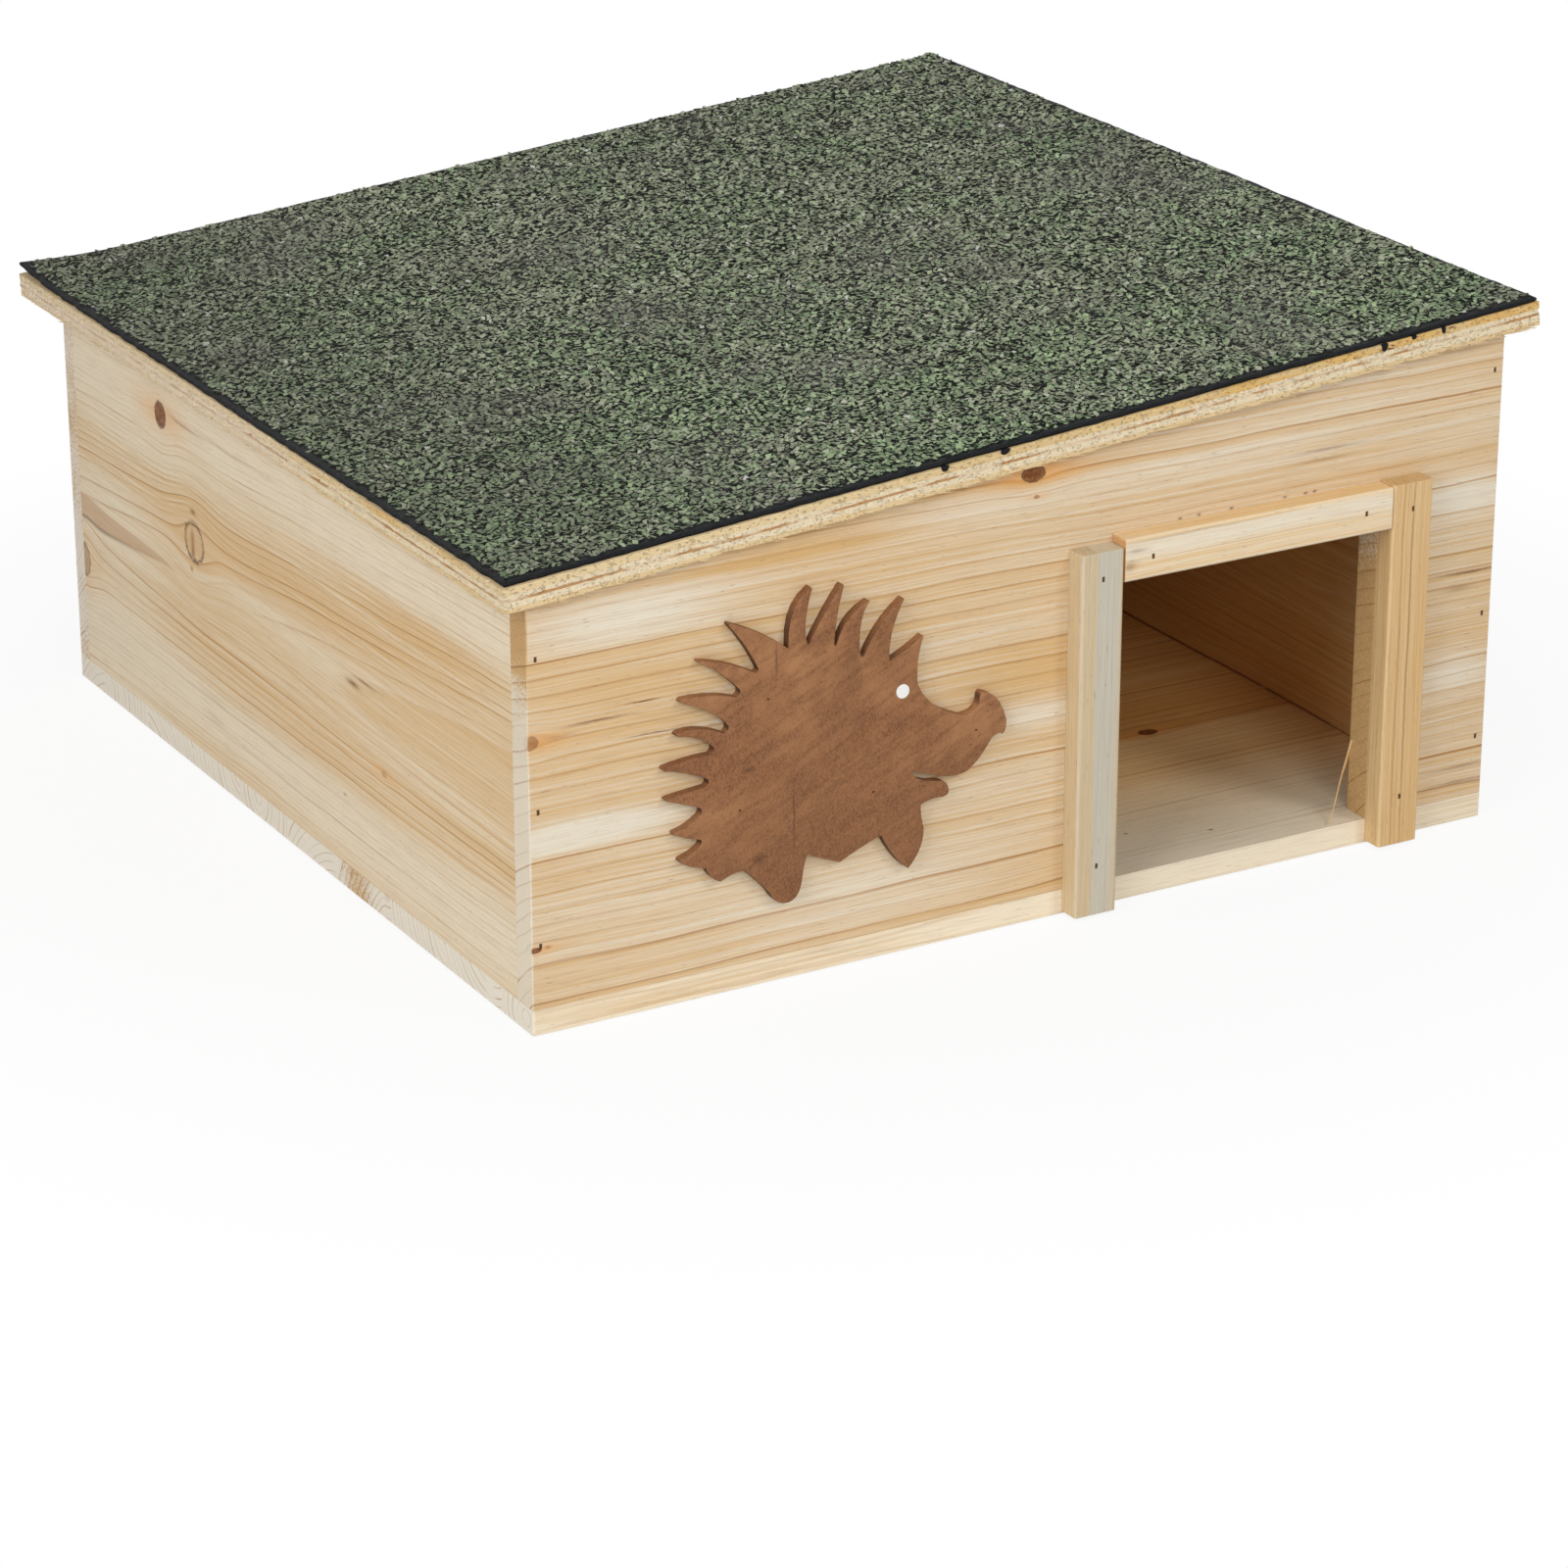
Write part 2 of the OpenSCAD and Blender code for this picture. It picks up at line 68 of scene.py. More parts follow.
def srgb(red, green, blue):
    """A colour as it is seen, from 0 to 255, as the linear colour that a shader takes."""
    seen = np.array((red, green, blue)) / 255
    linear = np.where(seen <= 0.04045, seen / 12.92, ((seen + 0.055) / 1.055) ** 2.4)
    return (*linear.tolist(), 1.0)


# Shader graphs


class Field:
    """A number that varies over a surface. Sums and products of fields become math nodes."""

    def __init__(self, graph, socket):
        self.graph = graph
        self.socket = socket

    def do(self, operation, *others):
        return self.graph.math(operation, self, *others)

    def __add__(self, other):
        return self.do("ADD", other)

    def __sub__(self, other):
        return self.do("SUBTRACT", other)

    def __rsub__(self, other):
        return self.graph.math("SUBTRACT", other, self)

    def __mul__(self, other):
        return self.do("MULTIPLY", other)

    def __truediv__(self, other):
        return self.do("DIVIDE", other)

    __radd__ = __add__
    __rmul__ = __mul__

    def step(self, low, high):
        """0 below low, 1 above high and smooth between them."""
        node = self.graph.add("MapRange", interpolation_type="SMOOTHSTEP")
        for name, value in (("Value", self), ("From Min", low), ("From Max", high)):
            self.graph.feed(node.inputs[name], value)
        return Field(self.graph, node.outputs["Result"])

    def bell(self, centre, half_width):
        """1 at centre, falling to about a third at half_width on each side."""
        off = (self - centre) / half_width
        return (off * off * -1.0).do("EXPONENT")


class Graph:
    """A material in the making, with short calls for the nodes that it uses."""

    def __init__(self, name):
        self.material = bpy.data.materials.new(name)
        self.material.use_nodes = True
        self.tree = self.material.node_tree
        self.shader = self.tree.nodes["Principled BSDF"]
        self.colour = None

    def add(self, kind, **settings):
        node = self.tree.nodes.new("ShaderNode" + kind)
        for key, value in settings.items():
            setattr(node, key, value)
        return node

    def feed(self, socket, value):
        """Links a field or an output to a socket, or sets the socket to a number or a colour.

        A colour of three numbers is one as it is seen, and one of four is a linear one.
        """
        if isinstance(value, Field):
            value = value.socket
        if isinstance(value, bpy.types.NodeSocket):
            self.tree.links.new(value, socket)
        elif isinstance(value, tuple) and len(value) == 3:
            socket.default_value = srgb(*value)
        else:
            socket.default_value = value

    def math(self, operation, *values):
        node = self.add("Math", operation=operation)
        for socket, value in zip(node.inputs, values):
            self.feed(socket, value)
        return Field(self, node.outputs[0])

    def split(self, vector, axes):
        parts = self.add("SeparateXYZ")
        self.feed(parts.inputs[0], vector)
        return [Field(self, parts.outputs["xyz".index(axis)]) for axis in axes]

    def millimetres(self, axes="xyz"):
        """The piece's own coordinates in millimetres, in the order that axes names."""
        scale = self.add("VectorMath", operation="SCALE")
        self.feed(scale.inputs[0], self.add("TexCoord").outputs["Object"])
        scale.inputs["Scale"].default_value = 1 / MM
        return self.split(scale.outputs[0], axes)

    def facing(self, axes="xyz"):
        """How far the surface faces along each of the axes, from -1 to 1."""
        return self.split(self.add("TexCoord").outputs["Normal"], axes)

    def noise(self, x, y, z, detail=2.0):
        """Smooth noise from 0 to 1, about one bump for each unit of x, y and z."""
        place = self.add("CombineXYZ")
        for socket, value in zip(place.inputs, (x, y, z)):
            self.feed(socket, value)
        node = self.add("TexNoise")
        self.feed(node.inputs["Vector"], place.outputs[0])
        node.inputs["Scale"].default_value = 1.0
        node.inputs["Detail"].default_value = detail
        return Field(self, node.outputs["Fac"])

    def even_noise(self, places, scale, detail=2.0):
        """Noise that is alike in all directions, about scale bumps for each unit of the places."""
        return self.noise(*(place * scale for place in places), detail)

    def random(self, value):
        """A random number from 0 to 1 for each whole number."""
        node = self.add("TexWhiteNoise", noise_dimensions="1D")
        self.feed(node.inputs["W"], value)
        return Field(self, node.outputs["Value"])

    def attribute(self, name):
        return Field(self, self.add("Attribute", attribute_name=name).outputs["Fac"])

    def mix(self, factor, first, second, blend="MIX"):
        node = self.add("Mix", data_type="RGBA", blend_type=blend, clamp_result=blend == "MULTIPLY")
        for index, value in ((0, factor), (6, first), (7, second)):
            self.feed(node.inputs[index], value)
        return node.outputs[2]

    def lay(self, share, colour, blend="MIX"):
        """Lays a colour over the material's colour so far."""
        self.colour = self.mix(share, self.colour, colour, blend)

    def ramp(self, factor, *stops, interpolation="LINEAR"):
        """Colours between stops, each a place from 0 to 1 and a colour as it is seen."""
        node = self.add("ValToRGB")
        self.feed(node.inputs[0], factor)
        node.color_ramp.interpolation = interpolation
        elements = node.color_ramp.elements
        while len(elements) < len(stops):
            elements.new(1.0)
        for element, (place, colour) in zip(elements, stops):
            element.position = place
            element.color = srgb(*colour)
        return node.outputs[0]

    def set(self, name, value):
        self.feed(self.shader.inputs[name], value)

    def finish(self, roughness, height, relief, specular=0.3):
        """Feeds the shader: height from 0 to 1 stands relief metres proud of the surface."""
        bump = self.add("Bump")
        bump.inputs["Strength"].default_value = 1.0
        bump.inputs["Distance"].default_value = relief
        self.feed(bump.inputs["Height"], height)
        self.set("Normal", bump.outputs[0])
        self.set("Base Color", self.colour)
        self.set("Roughness", roughness)
        self.set("Specular IOR Level", specular)
        return self.material


# Wood


# A knot at u along the grain and v across the face: how dark its core, bark ring and halo are
Knot = namedtuple("Knot", "u v half_u half_v core bark halo")
# A dark mark along the grain
Streak = namedtuple("Streak", "u v half_u half_v strength")
# A patch of the face that is paler (tone below 0) or more orange (tone above 0)
Patch = namedtuple("Patch", "u v half_u half_v tone")
# A brown wedge that opens from its tip to an end, where it lies between v_low and v_high
Wedge = namedtuple("Wedge", "u_tip v_tip u_end v_low v_high fill edge")
# The colours of one kind of wood: pale, warm, ring lines, marks and end grain
Wood = namedtuple("Wood", "pale warm line mark end")
# What shows on one board
Marks = namedtuple("Marks", "knots streaks patches wedges", defaults=((), (), (), ()))

FIR = Wood((230, 216, 190), (212, 176, 124), (170, 118, 66), (124, 76, 38), (228, 217, 196))
FRONT_FIR = Wood((229, 219, 199), (211, 173, 118), (158, 106, 56), (116, 70, 34), (226, 214, 192))
PALE_END_FIR = Wood((238, 225, 200), (212, 175, 121), (152, 110, 68), (116, 70, 34), (233, 226, 213))
GREY_FIR = Wood((196, 190, 174), (206, 184, 146), (166, 140, 104), (110, 72, 40), (206, 190, 160))
ORANGE_FIR = Wood((223, 197, 152), (209, 168, 112), (176, 124, 72), (118, 70, 34), (206, 172, 120))
LINTEL_FIR = Wood((232, 220, 197), (228, 192, 136), (192, 144, 86), (118, 70, 34), (204, 148, 86))
BARK = (74, 43, 22)
KNOT_CORE = (112, 60, 22)
KNOT_HALO = (222, 162, 92)
WEDGE_BROWN = (176, 128, 84)
# What the colours of the floor and the walls are multiplied by inside the house: partly the warmer colour of
# fresher heartwood, partly painted warm shade and bounce light
FLOOR_TINT_AND_SHADE = (1.25, 0.95, 0.58, 1.0)
WALL_TINT_AND_SHADE = (1.08, 0.77, 0.43, 1.0)

# Where the outer faces of the boards lie, in millimetres
FRONT_FACE = -200.0
BACK_FACE = 200.0
LEFT_FACE = -200.0
RIGHT_FACE = 200.0
FLOOR_FACE = 9.5
TRIM_FACE = -209.0

# The inside of the house, where the wood is fresher and painted shade is laid, in millimetres
ROOM_X = 191.3
ROOM_FRONT = -188.8
ROOM_BACK = 191.3
ROOM_FLOOR = 9.3

# Growth rings: how far into its year the heart's plain wood stays
HEART = -0.45


def knot_push(along, across, knot):
    """How far the rings swerve sideways to pass round a knot."""
    off_v = across - knot.v
    near = along.bell(knot.u, knot.half_u * 2.4) * across.bell(knot.v, knot.half_v * 3.0)
    side = off_v / (off_v * off_v + knot.half_v**2).do("SQRT")
    return near * side * knot.half_v


def paint_knot(graph, along, across, depth, knot, ragged):
    """Lays a knot's halo, core and bark ring over the colour so far."""
    off_u = (along - knot.u) / knot.half_u
    off_v = (across - knot.v) / knot.half_v
    off_w = depth / (knot.half_v * 1.2)
    edge = (off_u * off_u + off_v * off_v + off_w * off_w).do("SQRT") + ragged * 0.35
    long_u = off_u / 4.2
    wide_v = off_v / 1.3
    glow = ((long_u * long_u + wide_v * wide_v + off_w * off_w) * -1.0).do("EXPONENT")
    graph.lay(glow * knot.halo, KNOT_HALO)
    inside = 1.0 - edge.step(0.75, 1.0)
    blotch = graph.even_noise((along, across, depth), 0.5).step(0.35, 0.65)
    graph.lay(inside * knot.core * (blotch * 0.2 + 0.8), KNOT_CORE)
    broken = graph.even_noise((along, across, depth), 0.13).step(0.3, 0.55) * 0.4 + 0.6
    graph.lay(edge.bell(0.93, 0.1) * broken * knot.bark, BARK)


def paint_wedge(graph, along, line, wedge):
    """Fills a wedge with brown, with a dark line along its lower edge."""
    share = (along - wedge.u_tip) / (wedge.u_end - wedge.u_tip)
    open_share = share.do("MAXIMUM", 0.0)
    low = open_share * (wedge.v_low - wedge.v_tip) + wedge.v_tip
    high = open_share * (wedge.v_high - wedge.v_tip) + wedge.v_tip
    above_low = line.step(low - 0.5, low + 0.5)
    below_high = 1.0 - line.step(high - 0.6, high + 0.6)
    inside = above_low * below_high * share.step(0.0, 0.1)
    graph.lay(inside * wedge.fill, WEDGE_BROWN)
    graph.lay(line.bell(low, 0.9) * share.step(0.1, 0.9) * wedge.edge, BARK)


def room_tint_and_shade(graph):
    """Turns the wood inside the house warmer, more so away from the doorway: partly the colour of fresh
    heartwood, partly painted shade and warm bounce light.
    """
    x, y, z = graph.millimetres()
    inside = 1.0 - x.do("ABSOLUTE").step(ROOM_X - 0.2, ROOM_X)
    inside = inside * y.step(ROOM_FRONT, ROOM_FRONT + 0.2) * (1.0 - y.step(ROOM_BACK - 0.2, ROOM_BACK))
    # The tint grows from the doorway inwards: painted shade, deeper inside the house
    inside = inside * z.step(ROOM_FLOOR - 0.1, ROOM_FLOOR) * y.step(ROOM_FRONT - 8.0, ROOM_FRONT + 95.0)
    tint = graph.mix(z.step(ROOM_FLOOR + 0.4, ROOM_FLOOR + 1.5), FLOOR_TINT_AND_SHADE, WALL_TINT_AND_SHADE)
    graph.lay(inside, tint, "MULTIPLY")


def wood(
    name, axes, pith, ring, face, kind=FIR, tone=0.45, marks=Marks(), lean=(0.0, 0.0), core=0.0, strips=0.0
):
    """Solid softwood. axes name the way along the grain, across the face and into the board.

    pith is the pith line's place across and into the board and lean how far it moves both ways
    for each millimetre along it, ring the width of a growth ring, face where the outer face lies
    and core the radius of the plain heart. With strips, the board is glued from strips of that
    width, each from another tree.
    """
    graph = Graph(name)
    along, across, into = graph.millimetres(axes)
    depth = into - face
    grown = along
    tint = 0.0
    if strips:
        strip = (across / strips).do("FLOOR")
        tint = graph.random(strip + 40.5) * 0.9 - 0.45
        across_pith = (strip + 0.5) * strips + (graph.random(strip) - 0.5) * strips * 1.6
        into_pith = (graph.random(strip + 80.5) - 0.5) * strips * 1.4
        grown = along + strip * 137.0
    else:
        across_pith = along * lean[0] + pith[0]
        into_pith = along * lean[1] + pith[1]
    slow = graph.noise(grown * 0.004, across * 0.01, into * 0.01) - 0.5
    quick = graph.noise(grown * 0.015, across * 0.05, into * 0.05) - 0.5
    line = across + slow * 8.0 + quick * 2.2
    for knot in marks.knots:
        line = line - knot_push(along, across, knot)

    off_v = line - across_pith
    off_w = into - into_pith
    radius = (off_v * off_v + off_w * off_w).do("SQRT")
    rings = ((radius - core) / ring).do("MAXIMUM", HEART)
    drift = graph.noise(radius * (0.25 / ring), slow, 3.0) - 0.5
    count = rings + drift * rings.step(0.0, 3.0) * 1.6
    phase = count.do("FRACT")
    heart = 1.0 - count.step(-0.3, 0.0)
    year = graph.random(count.do("FLOOR"))
    bold = (year * year * 0.8 + 0.2).do("MAXIMUM", heart * 0.6)
    waning = graph.noise(grown * 0.007, line * 0.08, into * 0.08).step(0.25, 0.6) * 0.7 + 0.3
    cut_through = (off_v.do("ABSOLUTE") / radius).step(0.06, 0.24).do("MAXIMUM", heart)
    late = phase.step(0.8, 0.94) * (1.0 - phase.step(0.96, 1.0)) * bold * waning * cut_through
    autumn = phase.step(0.1, 1.0) * bold * cut_through

    broad = graph.noise(grown * 0.0025, line * 0.03, into * 0.03) - 0.5
    streaky = graph.noise(grown * 0.005, line * 0.9, into * 0.9, 4.0) - 0.5
    warmth = broad * 1.1 + streaky * 1.35 + autumn * 0.3 + heart * 0.15 + tone + tint
    for patch in marks.patches:
        spot = along.bell(patch.u, patch.half_u) * line.bell(patch.v, patch.half_v)
        warmth = warmth + spot * patch.tone
    fibre = graph.noise(grown * 0.05, across * 2.4, into * 2.4, 3.0)
    dash = graph.noise(grown * 0.25, across * 1.9, into * 1.9, 1.0).step(0.66, 0.8)

    warm = warmth.step(-0.1, 1.1)
    graph.colour = graph.mix(warm, kind.pale, kind.warm)
    graph.lay(late * (warm * 0.6 + 0.5), kind.line)
    graph.lay(fibre.step(0.45, 0.75) * 0.26, kind.line)
    graph.lay(dash * 0.3, kind.mark)
    ragged = graph.even_noise((along, across, into), 0.5) - 0.5
    for wedge in marks.wedges:
        paint_wedge(graph, along, line, wedge)
    for streak in marks.streaks:
        shape = along.bell(streak.u, streak.half_u) * (line + ragged * 0.6).bell(streak.v, streak.half_v)
        broken = graph.noise(along * 0.12, across * 1.3, into * 1.3).step(0.15, 0.4)
        graph.lay(shape * broken * streak.strength, kind.mark)
    for knot in marks.knots:
        paint_knot(graph, along, across, depth, knot, ragged)

    ends = graph.facing(axes[0])[0].do("ABSOLUTE").step(0.6, 0.95)
    pores = graph.even_noise((along, across, into), 1.5, 5.0)
    end_grain = graph.mix(warm.step(0.5, 1.0), kind.end, kind.warm)
    end_grain = graph.mix(late, end_grain, kind.line)
    end_grain = graph.mix(pores.step(0.15, 0.95) * (warm * warm * 0.6 + 0.05), end_grain, kind.mark)
    graph.lay(ends * 0.8, end_grain)
    square = [part.do("ABSOLUTE") for part in graph.facing()]
    worn = 1.0 - square[0].do("MAXIMUM", square[1]).do("MAXIMUM", square[2]).step(0.8, 0.99)
    graph.lay(worn * 0.45, kind.pale)
    room_tint_and_shade(graph)

    height = late * 0.4 + fibre * 0.6 - dash * 0.4 + ends * pores * 0.6
    return graph.finish(fibre * 0.2 + 0.5, height, 0.00025)


def front_wood():
    knots = (
        Knot(-199, 107.4, 3, 2.6, 0.6, 0.5, 0.8),
        Knot(-2, 169.5, 4.8, 3.2, 1, 0.9, 0.9),
        Knot(-0.5, 160.7, 1.3, 0.8, 0.6, 0.3, 0.4),
        Knot(-198.5, 31.8, 2.4, 1.1, 1, 0.6, 0.7),
    )
    above_lintel = tuple(Streak(x, 142.9, 0.8, 0.5, 0.85) for x in (60, 68, 82, 105, 114, 118))
    streaks = above_lintel + (
        Streak(-174, 110.4, 12, 0.45, 0.8),
        Streak(-190, 107.4, 7, 0.7, 0.5),
        Streak(-156, 113.9, 6, 0.3, 1),
        Streak(-152, 102, 10, 0.3, 0.9),
        Streak(-193.8, 33.2, 1.2, 0.4, 0.9),
        Streak(-22, 90, 4, 0.5, 0.6),
        Streak(124, 158.7, 14, 0.6, 0.5),
        Streak(122, 155, 12, 0.6, 0.4),
        Streak(190, 99.5, 14, 0.6, 0.85),
        Streak(185, 94, 6, 1.4, 0.35),
        Streak(190, 22, 13, 0.5, 0.6),
        Streak(190, 16, 13, 0.7, 0.5),
        Streak(-200, 144, 0.4, 8, 0.45),
    )
    patches = (
        Patch(-182, 72, 30, 4.5, -1.4),
        Patch(-163, 145.5, 42, 8, -0.75),
        # More orange just under the eave: partly the wood's orange band, partly painted shade of the eave
        Patch(-95, 157.5, 45, 4, 0.5),
        Patch(-70, 27, 60, 10, -0.4),
        Patch(4, 80, 24, 6, -0.6),
        Patch(-165, 110, 40, 13, 0.3),
        Patch(-30, 160, 50, 7, -0.3),
        Patch(180, 85, 30, 40, -0.2),
        Patch(0, 98, 26, 9, 0.3),
        Patch(185, 131, 22, 7, -0.7),
        Patch(185, 61, 18, 8, -0.5),
        Patch(60, 160, 60, 8, -0.15),
        # The doorway's right cheek, more orange: partly its rough end grain, partly painted shade inside the
        # doorway
        Patch(147, 60, 1, 45, 1.1),
        Patch(-200, 144, 0.4, 12, 0.8),
        Patch(-200, 60, 0.4, 45, -1),
    )
    marks = Marks(knots, streaks, patches)
    pith = (-60.0, -262.0)
    return wood("fir_front", "xzy", pith, 5.4, FRONT_FACE, FRONT_FIR, 0.6, marks, lean=(0.0, 0.004))


def left_wood():
    knots = (
        Knot(105, 137, 5.2, 5.4, 1, 0.95, 0.55),
        Knot(77.5, 94, 9, 8.2, 0.08, 0.8, 0.15),
        Knot(190, 53, 5.5, 7, 0.45, 0.7, 0.2),
        Knot(-86, 56.7, 2.4, 1.4, 0.3, 0.2, 0.5),
    )
    streaks = (
        Streak(-62, 83.4, 5, 0.9, 0.9),
        Streak(-72, 86.6, 9, 0.6, 0.7),
        Streak(79, 94, 1.5, 1.5, 0.85),
        Streak(77.5, 101.6, 2.6, 1, 0.85),
        Streak(81, 88.5, 1.3, 1.1, 0.7),
        Streak(84, 138.6, 14, 0.8, 0.5),
        Streak(40, 140.5, 40, 0.8, 0.22),
        Streak(-52, 38, 1.2, 0.5, 0.6),
        Streak(64, 36, 8, 1.6, 0.12),
        Streak(63, 27, 8, 2, 0.14),
        Streak(0, 35, 200, 0.5, 0.16),
        Streak(0, 25, 200, 0.5, 0.16),
    )
    patches = (
        Patch(0, 141, 400, 13, -0.7),
        Patch(0, 105, 400, 12, 0.4),
        Patch(-130, 119, 60, 7, 0.35),
        Patch(0, 55, 400, 11, 0.35),
        Patch(0, 27, 400, 10, -0.8),
        Patch(20, 86, 70, 5, -0.35),
        Patch(160, 70, 60, 60, -0.5),
    )
    wedges = (Wedge(93, 78.5, 200, 67, 80, 0.5, 0.6),)
    marks = Marks(knots, streaks, patches, wedges)
    pith = (78.8, -243.8)
    return wood("fir_left", "yzx", pith, 1.7, LEFT_FACE, FIR, 0.38, marks, lean=(-0.03, -0.02), core=43.0)


def right_wood():
    knots = (Knot(60, 120, 6, 5, 0.9, 0.9, 0.8), Knot(-120, 60, 4, 3, 0.4, 0.7, 0.5))
    # The second streak runs along the wall's foot, where the floor meets it inside: painted shade in that
    # corner
    streaks = (Streak(-30, 90, 40, 2, 0.35), Streak(0, 9.9, 400, 0.6, 0.95))
    marks = Marks(knots, streaks)
    return wood("fir_right", "yzx", (70.0, 246.0), 1.9, RIGHT_FACE, tone=0.55, marks=marks, lean=(0.0, 0.02))


def back_wood():
    knots = (Knot(-90, 70, 6, 5, 0.9, 0.9, 0.8), Knot(110, 130, 8, 6, 0.2, 0.7, 0.4))
    marks = Marks(knots, (Streak(20, 100, 50, 2, 0.3),))
    pith = (95.0, 246.0)
    return wood("fir_back", "xzy", pith, 2.1, BACK_FACE, PALE_END_FIR, marks=marks, lean=(0.0, -0.02))


def floor_wood():
    knots = (Knot(125.7, -86.3, 4.2, 3, 1, 0.8, 0.6), Knot(-200, -85, 3, 2.2, 0.5, 0.6, 0.8))
    streaks = (Streak(91.3, -179.6, 1, 0.6, 1), Streak(62, -168, 0.9, 0.5, 0.9))
    patches = (
        Patch(-200, 0, 0.6, 500, -1),
        Patch(200, 0, 0.6, 500, -1),
        Patch(-200, -60, 0.6, 15, 0.9),
        # Paler floor just inside the doorway: painted light that falls in through the door
        Patch(90, -175, 90, 45, -0.65),
    )
    marks = Marks(knots, streaks, patches)
    return wood("fir_floor", "xyz", None, 3.4, FLOOR_FACE, PALE_END_FIR, 0.5, marks, strips=44.0)


def lintel_wood():
    streaks = (
        Streak(60, 141, 30, 0.5, 0.3),
        Streak(33, 132.5, 3, 1.6, 0.5),
        Streak(36, 138, 4, 0.8, 0.4),
    )
    patches = (
        Patch(90, 137.5, 200, 3, -0.8),
        Patch(90, 130, 200, 3.5, -0.1),
        Patch(90, 142.2, 200, 0.9, 0.4),
    )
    marks = Marks((), streaks, patches)
    return wood("fir_lintel", "xzy", (190.0, -236.0), 2.4, TRIM_FACE, LINTEL_FIR, 0.5, marks)


def left_jamb_wood():
    patches = (Patch(70, 24.4, 200, 5.2, -1.3), Patch(70, 19, 200, 0.6, 0.7))
    marks = Marks((), (), patches)
    return wood("fir_grey_jamb", "zxy", (-20.0, -240.0), 1.7, TRIM_FACE, GREY_FIR, 0.8, marks)


def right_jamb_wood():
    marks = Marks((), (Streak(80, 157, 90, 0.4, 0.5),))
    return wood("fir_orange_jamb", "zxy", (230.0, -240.0), 1.9, TRIM_FACE, ORANGE_FIR, 0.5, marks)


# Other materials


def ply_material():
    """Plywood edges and faces: each ply has its colour, and the top one has patches of glue."""
    graph = Graph("plywood_plies")
    x, y, z = graph.millimetres()
    ply = graph.attribute("ply")
    turned = graph.attribute("turned")
    along = x + (y - x) * turned
    across = y + (x - y) * turned
    graph.colour = graph.ramp(
        ply,
        (0.0, (224, 198, 152)),
        (0.125, (232, 216, 184)),
        (0.375, (184, 140, 94)),
        (0.625, (230, 214, 182)),
        (0.875, (218, 190, 138)),
        interpolation="CONSTANT",
    )
    fibre = graph.noise(along * 0.06, across * 1.4, z * 2.0, 3.0)
    graph.lay(fibre.step(0.4, 0.8) * 0.35, (186, 148, 98))
    face = graph.facing("z")[0].do("ABSOLUTE").step(0.7, 0.95)
    phase = (graph.noise(x * 0.0035, y * 0.016, 5.0) * 18.0).do("FRACT")
    flame = phase.step(0.5, 0.93) * (1.0 - phase.step(0.95, 1.0))
    veneer = graph.noise(x * 0.012, y * 0.4, 2.0, 4.0)
    graph.lay(face * flame * 0.4, (188, 142, 90))
    graph.lay(face * veneer.step(0.4, 0.75) * 0.4, (190, 146, 94))
    gaps = graph.noise(x * 0.07, y * 0.07, z * 0.2, 4.0).step(0.42, 0.6) * ply.bell(0.5, 0.1)
    graph.lay(gaps * 0.75, (232, 216, 186))
    top = ply.step(0.8, 0.9)
    left_edge = (graph.facing("x")[0] * -1.0).step(0.5, 0.9)
    graph.lay(left_edge * y.step(-60.0, -10.0) * 0.5, (226, 206, 182))
    graph.lay((1.0 - x.step(-120.0, 20.0)) * top * 0.5, (230, 210, 172))
    gluey = x.step(15.0, 75.0) + left_edge * (y.step(-190.0, -160.0) - y.step(-45.0, -10.0))
    glue = graph.noise(x * 0.03, y * 0.03, z * 0.25, 3.0).step(0.38, 0.6)
    graph.lay(glue * top * gluey * 0.7, (220, 174, 96))
    specks = graph.noise(x * 0.7, y * 0.7, z * 1.1, 2.0).step(0.58, 0.68)
    specks = specks * (1.0 - face)
    graph.lay(specks * (top * 0.22 + 0.06), (142, 98, 54))
    voids = x.bell(145.0, 5.0) + x.bell(128.0, 2.5) + x.bell(172.0, 2.0)
    void = graph.noise(x * 0.25, y * 0.25, z * 0.9).step(0.5, 0.6)
    graph.lay(voids * void * top, (84, 52, 28))
    height = fibre * (1.0 - face) + veneer * face * 0.5 - specks
    return graph.finish(fibre * 0.2 + 0.6, height, 0.0004, 0.2)


def bitumen_material():
    """Black felt base, torn a little at its cut edges."""
    graph = Graph("bitumen")
    place = graph.millimetres()
    grain = graph.even_noise(place, 0.9, 4.0)
    dust = graph.even_noise(place, 0.25, 3.0).step(0.55, 0.8)
    graph.colour = graph.mix(grain, (5, 6, 7), (20, 21, 24))
    graph.lay(dust * 0.2, (58, 60, 55))
    return graph.finish(grain * 0.25 + 0.5, grain, 0.0006, 0.18)


